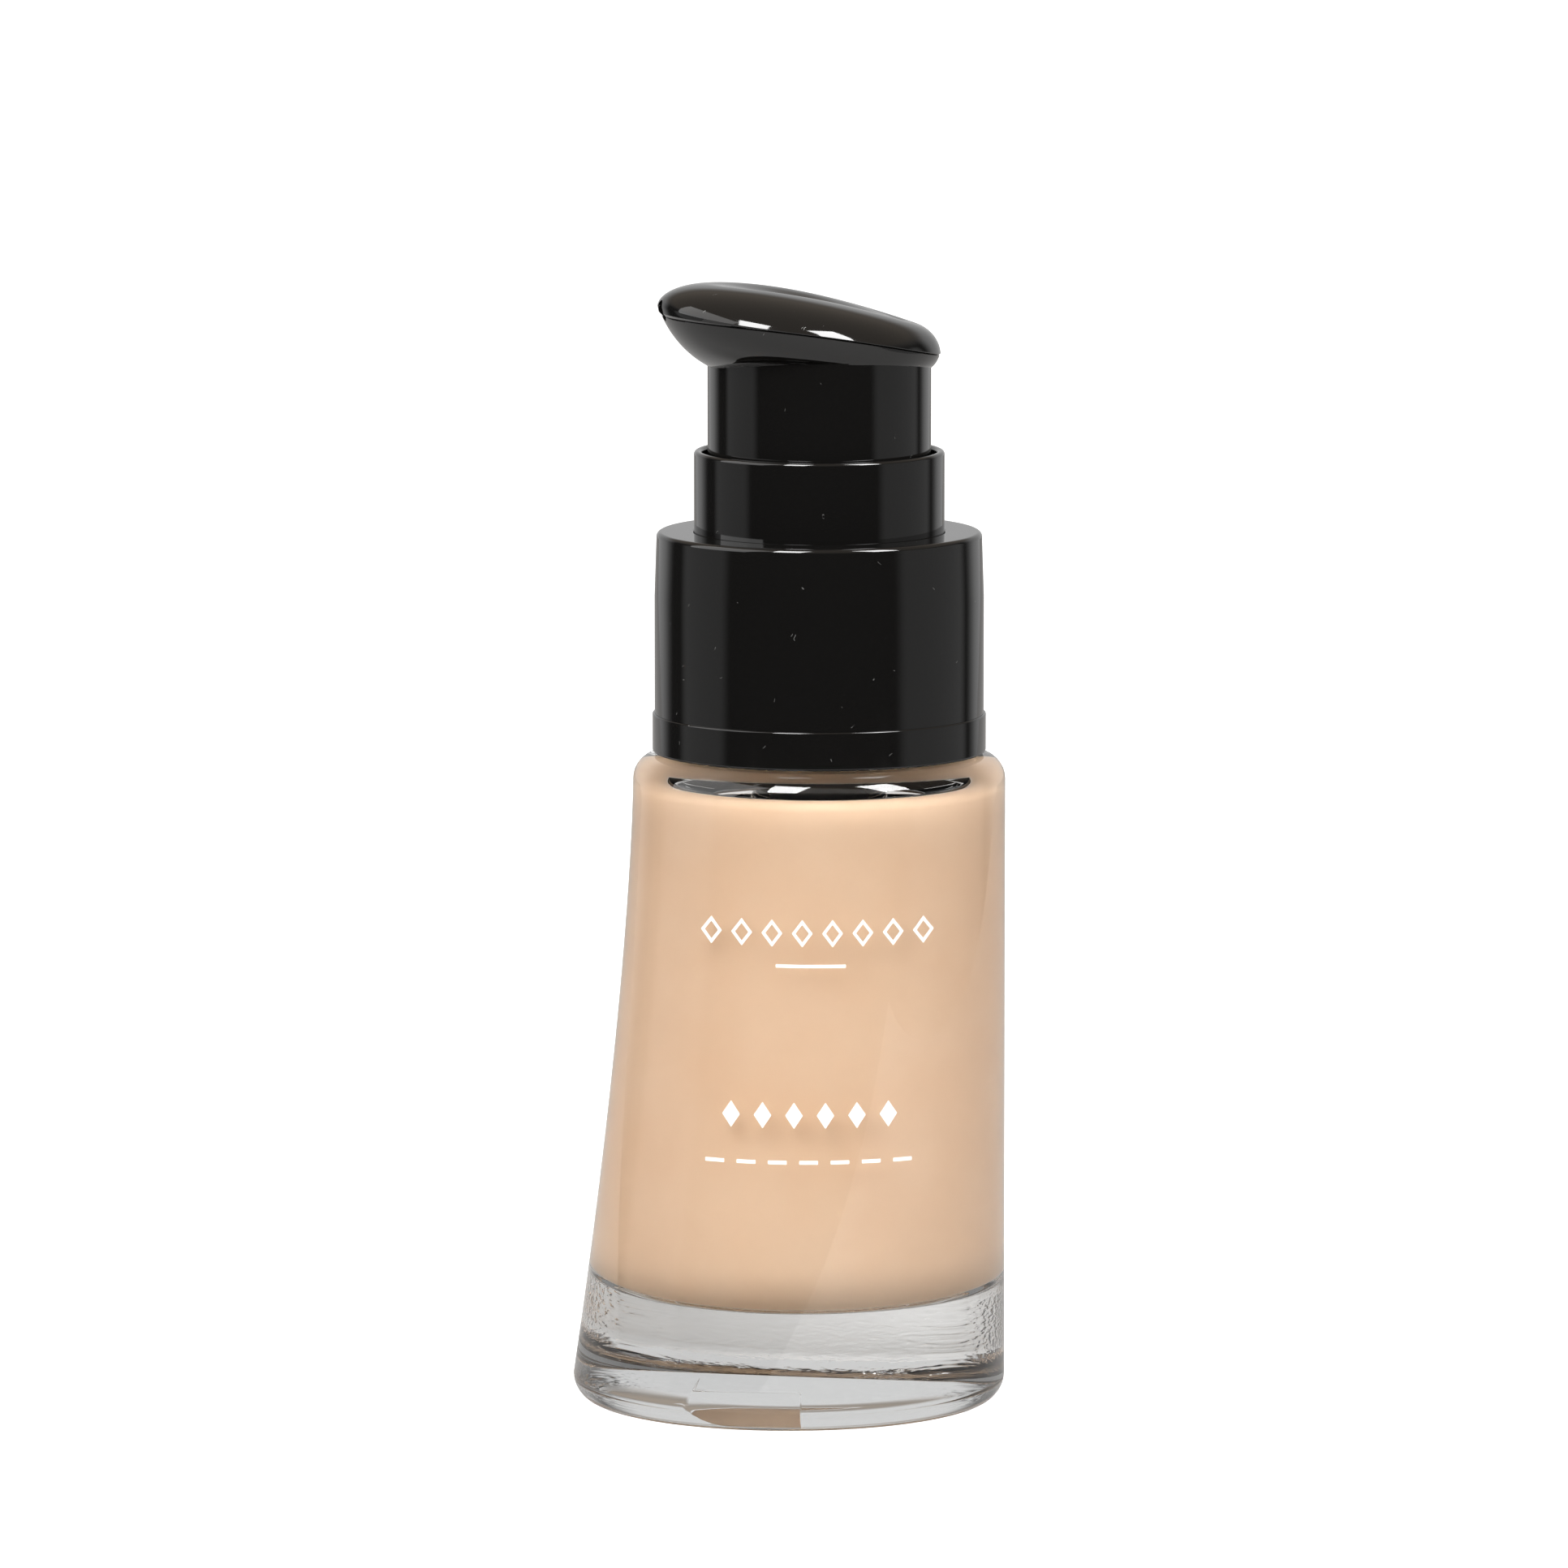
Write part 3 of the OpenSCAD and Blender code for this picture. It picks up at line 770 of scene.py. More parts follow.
@dataclass(frozen=True)
class MarkRow:
    """A level row of equal marks, between its first and its last middle."""

    shape: Mark
    z: float
    middle: float
    half: float
    count: int
    size: tuple[float, float]
    hollow: float = 0.66

    def draw(self) -> bmesh.types.BMesh:
        """Makes one mark as a flat mesh in the upright plane, round the origin.

        Returns:
            The mark, cut finely enough to follow the glass.
        """
        mark = bmesh.new()
        wide, tall = self.size
        if self.shape is Mark.OUTLINE:
            bmesh.ops.create_circle(mark, cap_ends=False, segments=4, radius=0.5)
            bmesh.ops.subdivide_edges(mark, edges=list(mark.edges), cuts=3)
            grown = bmesh.ops.extrude_edge_only(mark, edges=list(mark.edges))["geom"]
            inner = [part for part in grown if isinstance(part, bmesh.types.BMVert)]
            bmesh.ops.scale(mark, vec=(self.hollow,) * 3, verts=inner)
            bmesh.ops.scale(mark, vec=(wide, tall, 1.0), verts=mark.verts)
        else:
            cuts = 12 if self.shape is Mark.BAR else 4
            bmesh.ops.create_grid(mark, x_segments=cuts, y_segments=1 if cuts > 4 else 4, size=0.5)
            if self.shape is Mark.LOZENGE:
                eighth = Matrix.Rotation(math.pi / 4, 3, "Z")
                bmesh.ops.rotate(mark, cent=(0, 0, 0), matrix=eighth, verts=mark.verts)
                wide, tall = wide / math.sqrt(2.0), tall / math.sqrt(2.0)
            bmesh.ops.scale(mark, vec=(wide, tall, 1.0), verts=mark.verts)
        upright = Matrix.Rotation(math.pi / 2, 3, "X")
        bmesh.ops.rotate(mark, cent=(0, 0, 0), matrix=upright, verts=mark.verts)
        return mark


@dataclass
class GlassBottle:
    """The pressed glass bottle, what it holds and what is printed on it."""

    flare: Flare = field(default_factory=Flare)
    shoulder_z: float = 60.35
    shoulder_r: float = 2.3
    heel_r: float = 2.4
    wall: float = 2.4
    floor_z: float = 10.2
    floor_r: float = 4.8
    roof_z: float = 57.85
    roof_r: float = 1.0
    punt_r: float = 15.2
    punt_h: float = 1.4
    punt_slope: float = 5.0
    neck_r: float = 8.7
    neck_top_z: float = 74.3
    bore_r: float = 6.5
    thread_r: float = 9.8
    pitch: float = 3.175
    turns: float = 1.5
    thread_rise: float = 5.0
    ridge_root: float = 1.05
    ridge_crest: float = 0.5
    bead_rise: float = 1.2
    bead_t: float = 0.9
    bead_h: float = 1.0
    notch_x: float = 1.0
    notch_w: float = 10.4
    notch_d: float = 1.1
    notch_h: float = 3.9
    notch_turn: float = -6.5
    notch_round: float = 0.25
    levels: int = 40
    channel: tuple[Point, ...] = ((1.9, 12.5), (2.8, 46.3), (4.9, 51.9), (6.5, 57.7))  # radius, lower end
    channel_top: float = 70.0
    ink: float = 0.05
    rows: tuple[MarkRow, ...] = (
        MarkRow(Mark.OUTLINE, 46.0, 2.6, 9.7, 8, (1.9, 2.5)),
        MarkRow(Mark.BAR, 43.0, 2.0, 0.0, 1, (6.4, 0.3)),
        MarkRow(Mark.LOZENGE, 29.3, 1.9, 7.2, 6, (1.6, 2.4)),
        MarkRow(Mark.BAR, 25.0, 1.8, 8.6, 7, (1.7, 0.34)),
    )
    contact: float = 0.03

    def build(self, lathe: Lathe) -> None:
        """Makes the glass, the fluid and the print.

        Args:
            lathe: the lathe that turns and lofts.
        """
        Piece("glass", self._glass(lathe), Palette.GLASS, "bottle", "clear_glass", ("glass_bottle",),
              [self._notch()]).place()
        Piece("foundation", self._fluid(lathe), Palette.FLUID, "bottle", "fluid", ("foundation_fluid",),
              [self._channel()]).place()
        Piece("print", self._print(), Palette.INK, "bottle", "clear_glass").place()

    def _long_walls(self, shape: bmesh.types.BMesh) -> None:
        """Cuts the tall faces of a straight wall into levels, so that it can lean.

        Args:
            shape: the turned solid, whose walls are still straight.
        """
        tall = [
            e for e in shape.edges
            if abs(e.verts[0].co.z - e.verts[1].co.z) > 20.0
            and math.hypot(e.verts[0].co.x, e.verts[0].co.y) > self.punt_r
        ]
        bmesh.ops.subdivide_edges(shape, edges=tall, cuts=self.levels, use_grid_fill=True)

    def _glass(self, lathe: Lathe) -> bmesh.types.BMesh:
        """The glass with its neck and thread.

        Args:
            lathe: the lathe that turns and lofts.

        Returns:
            The mesh, in millimetres.
        """
        base, neck = self.flare.base_r, self.flare.neck_x
        cavity = base - self.wall
        low, high = self.floor_z, self.roof_z
        neck_out, bore = self.neck_r + neck, self.bore_r + neck
        bead_z, bead_out = self.shoulder_z + self.bead_rise, neck_out + self.bead_t
        bead_top, slope_r = bead_z + self.bead_h, self.punt_r - self.punt_slope
        outline = [
            (0.0, self.punt_h), (slope_r, self.punt_h), (self.punt_r, 0.0), (base, 0.0),
            (base, self.shoulder_z), (neck_out, self.shoulder_z), (neck_out, bead_z),
            (bead_out, bead_z), (bead_out, bead_top), (neck_out, bead_top),
            (neck_out, self.neck_top_z), (bore, self.neck_top_z), (bore, high), (cavity, high),
            (cavity, low), (0.0, low),
        ]
        rounds = {
            (slope_r, self.punt_h): 2.0, (self.punt_r, 0.0): 0.5, (base, 0.0): self.heel_r,
            (base, self.shoulder_z): self.shoulder_r, (neck_out, self.shoulder_z): 0.5,
            (bead_out, bead_z): 0.3, (bead_out, bead_top): 0.3,
            (neck_out, self.neck_top_z): 0.4, (bore, self.neck_top_z): 0.3, (bore, high): 0.8,
            (cavity, high): self.roof_r, (cavity, low): self.floor_r,
        }
        shape = lathe.turn(outline, rounds, 8)
        self._long_walls(shape)
        self.flare.lean(shape)
        root, crest, sunk = self.ridge_root, self.ridge_crest, self.neck_r - 0.2
        ridge = [(sunk, -root), (self.thread_r, -crest), (self.thread_r, crest), (sunk, root)]
        thread = lathe.thread(ridge, self.pitch, self.turns, self.shoulder_z + self.thread_rise)
        bmesh.ops.translate(thread, vec=(neck, 0, 0), verts=thread.verts)
        add_to(shape, thread)
        return shape

    def _notch(self) -> bmesh.types.BMesh:
        """The locating notch of the heel, as the block that is taken out.

        Returns:
            The block, in millimetres.
        """
        spot = Matrix.Translation((self.notch_x, -self.flare.base_r, 0.0))
        place = spot @ Matrix.Rotation(math.radians(self.notch_turn), 4, "Z")
        notch = box((-self.notch_w, -self.notch_d, -0.02), (0.0, self.notch_d, self.notch_h), place)
        top = [e for e in notch.edges if all(v.co.z > self.notch_h / 2 for v in e.verts)]
        bmesh.ops.bevel(
            notch, geom=top, offset=self.notch_round, affect="EDGES", segments=3, profile=0.5, material=-1,
        )
        return notch

    def _fluid(self, lathe: Lathe) -> bmesh.types.BMesh:
        """The fluid, which wets the wall, floor and roof of the cavity.

        Args:
            lathe: the lathe that turns and lofts.

        Returns:
            The mesh, in millimetres.
        """
        wet = self.flare.base_r - self.wall + self.contact
        low, high = self.floor_z - self.contact, self.roof_z + self.contact
        shape = lathe.turn(
            [(0.0, low), (wet, low), (wet, high), (0.0, high)],
            {(wet, low): self.floor_r, (wet, high): self.roof_r}, 8,
        )
        self._long_walls(shape)
        return self.flare.lean(shape)

    def _channel(self) -> bmesh.types.BMesh:
        """The room that the pump and its tube take out of the fluid, up to a little under the bore.

        Returns:
            The space, in millimetres.
        """
        ends = [*(low for _, low in self.channel[1:]), self.channel_top]
        outline = [(0.0, self.channel[0][1])]
        for (radius, low), high in zip(self.channel, ends):
            outline += [(radius, low), (radius, high)]
        outline.append((0.0, self.channel_top))
        shape = Lathe(48).turn(outline, {})
        bmesh.ops.translate(shape, vec=(self.flare.neck_x, 0, 0), verts=shape.verts)
        return shape

    def _print(self) -> bmesh.types.BMesh:
        """Four rows of plain marks on the front of the glass.

        Returns:
            The marks, in millimetres.
        """
        marks = bmesh.new()
        for row in self.rows:
            for index in range(row.count):
                share = 2.0 * index / (row.count - 1) - 1.0 if row.count > 1 else 0.0
                x = row.middle + row.half * share
                mark = row.draw()
                bmesh.ops.translate(mark, vec=(x, 0.0, row.z), verts=mark.verts)
                add_to(marks, mark)
        for vert in marks.verts:
            vert.co = self.flare.front(vert.co.x, vert.co.z, self.ink / 2)
        bmesh.ops.recalc_face_normals(marks, faces=marks.faces)
        bmesh.ops.solidify(marks, geom=marks.faces, thickness=self.ink)
        bmesh.ops.recalc_face_normals(marks, faces=marks.faces)
        return marks


# --- closure and collar ---------------------------------------------------------------------


@dataclass
class Closure:
    """The threaded closure with its guide tube, and the gloss collar over it."""

    axis_x: float = 2.8
    skirt_r: float = 12.0
    skirt_low_z: float = 62.4
    root_r: float = 10.05
    deck_z: float = 76.3
    deck_t: float = 1.5
    deck_hole_r: float = 6.6
    guide_r: float = 11.55
    guide_wall: float = 0.75
    guide_top_z: float = 88.5
    collar_low_z: float = 60.6
    collar_grip_z: float = 75.0
    collar_top_z: float = 81.0
    collar_r: float = 15.2
    collar_top_r: float = 15.0
    band_r: float = 15.4
    band_h: float = 3.6
    collar_wall: float = 1.2
    ribs: int = 8
    rib_half: float = 0.5
    rib_rise: float = 2.4
    pitch: float = 3.175
    turns: float = 1.5
    shoulder_z: float = 60.35
    thread_rise: float = 5.0
    crest_r: float = 9.1
    ridge_root: float = 0.75
    ridge_crest: float = 0.35

    def build(self, lathe: Lathe) -> None:
        """Makes both pieces.

        Args:
            lathe: the lathe that turns and lofts.
        """
        Piece("closure", self._closure(lathe), Palette.COLLAR, "closure", "black_plastic",
              ("screw_closure",)).place()
        Piece("collar", self._collar(lathe), Palette.COLLAR, "closure", "black_gloss",
              ("collar_shell",)).place()

    def _closure(self, lathe: Lathe) -> bmesh.types.BMesh:
        """The threaded skirt, the deck and the guide tube.

        Args:
            lathe: the lathe that turns and lofts.

        Returns:
            The mesh, in millimetres.
        """
        top = self.deck_z + self.deck_t
        inner = self.guide_r - self.guide_wall
        outline = [
            (self.root_r, self.skirt_low_z), (self.skirt_r, self.skirt_low_z), (self.skirt_r, top),
            (self.guide_r, top), (self.guide_r, self.guide_top_z), (inner, self.guide_top_z),
            (inner, top), (self.deck_hole_r, top), (self.deck_hole_r, self.deck_z),
            (self.root_r, self.deck_z),
        ]
        rounds = {
            (self.guide_r, self.guide_top_z): 0.33, (inner, self.guide_top_z): 0.33,
            (self.skirt_r, self.skirt_low_z): 0.3, (self.skirt_r, top): 0.15,
        }
        shape = lathe.turn(outline, rounds, 5)
        root, crest, sunk = self.ridge_root, self.ridge_crest, self.root_r + 0.2
        ridge = [(sunk, -root), (sunk, root), (self.crest_r, crest), (self.crest_r, -crest)]
        start = self.shoulder_z + self.thread_rise + self.pitch / 2
        thread = lathe.thread(ridge, self.pitch, self.turns, start)
        add_to(shape, thread)
        bmesh.ops.translate(shape, vec=(self.axis_x, 0, 0), verts=shape.verts)
        return shape

    def _collar(self, lathe: Lathe) -> bmesh.types.BMesh:
        """The collar with its stop band, and the ribs that grip the closure.

        Args:
            lathe: the lathe that turns and lofts.

        Returns:
            The mesh, in millimetres.
        """
        low, band_top = self.collar_low_z, self.collar_low_z + self.band_h
        inner, hole = self.collar_top_r - self.collar_wall, self.guide_r + 0.02
        ceiling = self.collar_top_z - self.collar_wall
        outline = [
            (inner, low), (self.band_r, low), (self.band_r, band_top), (self.collar_r, band_top),
            (self.collar_r, self.collar_grip_z), (self.collar_top_r, self.collar_top_z),
            (hole, self.collar_top_z), (hole, ceiling), (inner, ceiling),
        ]
        rounds = {
            (self.band_r, low): 0.25, (self.band_r, band_top): 0.15,
            (self.collar_top_r, self.collar_top_z): 0.45, (hole, self.collar_top_z): 0.2,
        }
        shape = lathe.turn(outline, rounds, 5)
        for index in range(self.ribs):
            spot = Matrix.Rotation(math.tau * (index + 0.5) / self.ribs, 4, "Z")
            rib_low = (self.skirt_r + 0.02, -self.rib_half, low + self.rib_rise)
            rib_high = (inner + 0.2, self.rib_half, ceiling + 0.1)
            add_to(shape, box(rib_low, rib_high, spot))
        bmesh.ops.translate(shape, vec=(self.axis_x, 0, 0), verts=shape.verts)
        return shape


# --- head -----------------------------------------------------------------------------------


@dataclass(frozen=True)
class Bow:
    """A shallow curve along the head, which falls faster and faster towards the heel."""

    start: float
    height: float
    slope: float
    bend: float

    def at(self, u: float) -> float:
        """The curve's height at distance u along the head."""
        d = u + self.start
        return self.height - self.slope * d - self.bend * d * d


@dataclass
class PumpHead:
    """The oval head: a body with the skirt and the underside, and a cover with the finger dish.

    Lengths along the head run from the pump axis, with the nozzle on the minus side.
    """

    axis_x: float = 2.8
    turn: float = 12.0
    half_l: float = 13.1
    half_w: float = 11.2
    reach: float = 15.0
    skirt_r: float = 10.3
    skirt_wall: float = 0.9
    skirt_low_z: float = 84.0
    skirt_mid_z: float = 90.0
    skirt_top_z: float = 96.2
    skirt_side_rise: float = 1.3
    skirt_tilt: float = 0.02
    skirt_edge: float = 0.15
    shell: float = 1.2
    seam: Bow = Bow(13.0, 101.1, 0.05, 0.0045)
    crown: Bow = Bow(10.5, 104.05, 0.0436, 0.00879)
    dish_l: float = 9.2
    dish_w: float = 4.6
    dish_x: float = -1.3
    dish_depth: float = 0.7
    bulge: float = 0.42
    inner_bulge: float = 0.22
    lip_gap: float = 0.12
    lip_reach: float = 0.95
    lip_h: float = 0.45
    dome_steps: int = 28
    dish_steps: int = 16
    lean: float = 16.0
    tip_inset: float = 0.3
    tip_rise: float = 0.75
    nozzle_z: float = 101.7
    nozzle_r: float = 0.97
    nozzle_l: float = 4.0

    def build(self, lathe: Lathe) -> None:
        """Makes the body and the cover.

        Args:
            lathe: the lathe that turns and lofts.
        """
        Piece("head_body_shell", self._turned(self._body(lathe)), Palette.HEAD, "head", "black_gloss",
              ("head_body",), [self._nozzle()]).place()
        Piece("head_cover_shell", self._turned(self._cover(lathe)), Palette.HEAD, "head", "black_gloss",
              ("head_cover",), [self._nozzle()]).place()

    def parting(self, inset: float, rise: float, tip_inset: float = 0.0, tip_rise: float = 0.0) -> Station:
        """A ring along the parting line.

        Args:
            inset: how far it is moved inwards.
            rise: how far it is moved upwards.
            tip_inset: a further move inwards at the nozzle end.
            tip_rise: a further move upwards at the nozzle end.

        Returns:
            The ring, as a function of the angle.
        """
        centre = self.half_l - self.reach

        def ring(angle: float) -> Vector:
            """A point of the ring.

            Args:
                angle: the direction round the pump axis, in radians.

            Returns:
                The point of the ring in that direction.
            """
            tip = max(0.0, -math.cos(angle)) ** 3
            move = inset + tip_inset * tip
            u = centre + (self.half_l - move) * math.cos(angle)
            across = (self.half_w - move) * math.sin(angle)
            return Vector((u, across, self.seam.at(u) + rise + tip_rise * tip))

        return ring

    def skirt_line(self, radius: float, rise: float) -> Station:
        """The line on the skirt where the underside begins, moved upwards.

        Args:
            radius: the skirt's radius.
            rise: how far it is moved upwards.

        Returns:
            The ring, as a function of the angle.
        """

        def ring(angle: float) -> Vector:
            """A point of the ring.

            Args:
                angle: the direction round the pump axis, in radians.

            Returns:
                The point of the ring in that direction.
            """
            along, across = radius * math.cos(angle), radius * math.sin(angle)
            lift = self.skirt_side_rise * abs(math.sin(angle)) ** 1.5 - self.skirt_tilt * along
            return Vector((along, across, self.skirt_top_z + lift + rise))

        return ring

    @staticmethod
    def level(radius: float, z: float) -> Station:
        """A flat ring round the pump axis."""
        return lambda angle: Vector((radius * math.cos(angle), radius * math.sin(angle), z))

    @staticmethod
    def between(low: Station, high: Station, along: float, up: float) -> Station:
        """A ring between two rings, by a share outwards and a share upwards.

        Args:
            low: the first ring.
            high: the second ring.
            along: the share of the way outwards.
            up: the share of the way upwards.

        Returns:
            The ring, as a function of the angle.
        """

        def ring(angle: float) -> Vector:
            """A point of the ring.

            Args:
                angle: the direction round the pump axis, in radians.

            Returns:
                The point of the ring in that direction.
            """
            a, b = low(angle), high(angle)
            return Vector((a.x + (b.x - a.x) * along, a.y + (b.y - a.y) * along, a.z + (b.z - a.z) * up))

        return ring

    def dome(self, low: Station, high: Station, share: float) -> Station:
        """A ring of the cover's dome, whose sides lean in from the start and whose ends don't.

        Args:
            low: the ring at its foot.
            high: the ring at its crest.
            share: how far round the dome the ring is, from 0 to 1.

        Returns:
            The ring, as a function of the angle.
        """

        def ring(angle: float) -> Vector:
            """A point of the ring.

            Args:
                angle: the direction round the pump axis, in radians.

            Returns:
                The point of the ring in that direction.
            """
            start = math.radians(self.lean) * abs(math.sin(angle))
            turn = start + (math.pi / 2 - start) * share
            along = 1.0 - math.cos(turn) / math.cos(start)
            up = (math.sin(turn) - math.sin(start)) / (1.0 - math.sin(start))
            return self.between(low, high, along, up)(angle)

        return ring

    def dish(self, share: float, drop: float) -> Station:
        """A ring of the crown, by a share of the dish's size and a drop below the crown.

        Args:
            share: the share of the dish's size.
            drop: how far below the crown.

        Returns:
            The ring, as a function of the angle.
        """

        def ring(angle: float) -> Vector:
            """A point of the ring.

            Args:
                angle: the direction round the pump axis, in radians.

            Returns:
                The point of the ring in that direction.
            """
            u = self.dish_x + self.dish_l * share * math.cos(angle)
            return Vector((u, self.dish_w * share * math.sin(angle), self.crown.at(u) - drop))

        return ring

    def _swell(self, low: Station, high: Station, steps: int, bulge: float) -> list[Station]:
        """Rings from low to high that swell outwards on their way up.

        Args:
            low: the ring at the foot.
            high: the ring at the top.
            steps: the number of steps from one to the other.
            bulge: how round the swelling is, from 0 to 1.

        Returns:
            The rings between the two.
        """
        rings = []
        for index in range(steps - 1, 0, -1):
            t = index / steps
            share = t + bulge * (1.0 - math.cos(math.pi / 2 * t) - t)
            climb = t + bulge * (math.sin(math.pi / 2 * t) - t)
            rings.append(self.between(high, low, share, climb))
        return rings

    def _body(self, lathe: Lathe) -> bmesh.types.BMesh:
        """The skirt and the underside, open at the parting line.

        Args:
            lathe: the lathe that turns and lofts.

        Returns:
            The mesh, in millimetres.
        """
        inner_r = self.skirt_r - self.skirt_wall
        line, rim = self.skirt_line(self.skirt_r, 0.0), self.parting(0.1, -0.1, self.tip_inset)
        inner_line, inner_rim = self.skirt_line(inner_r, 0.9), self.parting(self.shell + 0.1, 0.0)
        edge = self.skirt_edge
        outside = [
            self.level(self.skirt_r - edge, self.skirt_low_z),
            self.level(self.skirt_r, self.skirt_low_z + edge), self.level(self.skirt_r, self.skirt_mid_z),
            self.skirt_line(self.skirt_r, -edge), line,
        ]
        outside += self._swell(line, rim, 20, self.bulge)
        outside += [rim, self.parting(0.18, 0.0, self.tip_inset)]
        inner_rings = reversed(self._swell(inner_line, inner_rim, 8, self.inner_bulge))
        inside = [inner_rim, *inner_rings, inner_line, self.level(inner_r, self.skirt_low_z)]
        return lathe.loft(outside + inside, poles=False)

    def _cover(self, lathe: Lathe) -> bmesh.types.BMesh:
        """The domed cover with the finger dish, and the lip that locates it.

        Args:
            lathe: the lathe that turns and lofts.

        Returns:
            The mesh, in millimetres.
        """
        lip, lip_in = self.shell + self.lip_gap, self.shell + self.lip_reach
        rim = self.parting(0.1, 0.02, self.tip_inset)
        widest = self.parting(0.0, 0.12, 0.0, self.tip_rise)
        springing, edge = self.parting(lip_in, 0.4), self.dish(1.0, 0.0)
        roof, crest = self.dish_depth + self.shell, self.dish(0.9, self.shell + 0.3)
        inside = [self.dish(0.0, roof), self.dish(0.4, roof), crest]
        for index in range(7, 0, -1):
            turn = math.pi / 2 * index / 8
            inside.append(self.between(springing, crest, 1.0 - math.cos(turn), math.sin(turn)))
        foot_in, foot_out = self.parting(lip_in, -self.lip_h), self.parting(lip + 0.5, -self.lip_h)
        inside += [springing, foot_in, foot_out, self.parting(lip, 0.02)]
        outside = [rim, self.between(rim, widest, 0.75, 0.35), widest]
        outside += [self.dome(widest, edge, index / self.dome_steps) for index in range(1, self.dome_steps)]
        for index in range(self.dish_steps + 1):
            share = 1.0 - index / self.dish_steps
            outside.append(self.dish(share, self.dish_depth * (1.0 - share * share) ** 2))
        return lathe.loft(inside + outside, poles=True)

    def _nozzle(self) -> bmesh.types.BMesh:
        """The hole for the nozzle, as the rod that is taken out.

        Returns:
            The rod, in millimetres.
        """
        shape = bmesh.new()
        spot = Matrix.Translation((-self.reach + 1.0, 0.0, self.nozzle_z))
        bmesh.ops.create_cone(
            shape, cap_ends=True, cap_tris=False, segments=64, radius1=self.nozzle_r, radius2=self.nozzle_r,
            depth=self.nozzle_l, matrix=spot @ Matrix.Rotation(math.pi / 2, 4, "Y"),
        )
        return self._turned(shape)

    def _turned(self, shape: bmesh.types.BMesh) -> bmesh.types.BMesh:
        """Swivels a part of the head to its rest direction over the pump axis.

        Args:
            shape: the mesh, made along the head.

        Returns:
            The same mesh, changed.
        """
        place = Matrix.Translation((self.axis_x, 0, 0)) @ Matrix.Rotation(math.radians(self.turn), 4, "Z")
        bmesh.ops.transform(shape, matrix=place, verts=shape.verts)
        return shape


# --- working parts --------------------------------------------------------------------------


@dataclass
class PumpWorks:
    """The parts inside the pump, which keep their exact solids and get their finishes."""

    finishes: dict[str, Palette] = field(default_factory=lambda: {
        "neck_gasket": Palette.SEAL, "pump_housing": Palette.CORE, "stem_guide": Palette.WORKS,
        "stem_seal": Palette.SEAL, "dip_tube": Palette.TUBE, "inlet_ball": Palette.BALL,
        "pump_spring": Palette.WIRE, "pump_stem": Palette.WORKS, "piston_rod": Palette.WORKS,
        "pump_piston": Palette.WORKS, "actuator_core": Palette.CORE,
    })
    spring_axis: float = 2.8
    spring_seat: float = 56.6
    spring_l: float = 9.6
    stroke: float = 5.0

    def dress(self) -> None:
        """Gives each solid its finish, and gives the spring its own copy of its mesh."""
        for node, finish in self.finishes.items():
            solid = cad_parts[node]
            solid.data.materials.clear()
            solid.data.materials.append(finish.value.material())
            LOG.info("%s keeps its solid, in %s", node, finish.value.name)
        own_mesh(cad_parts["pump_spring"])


# --- studio ---------------------------------------------------------------------------------


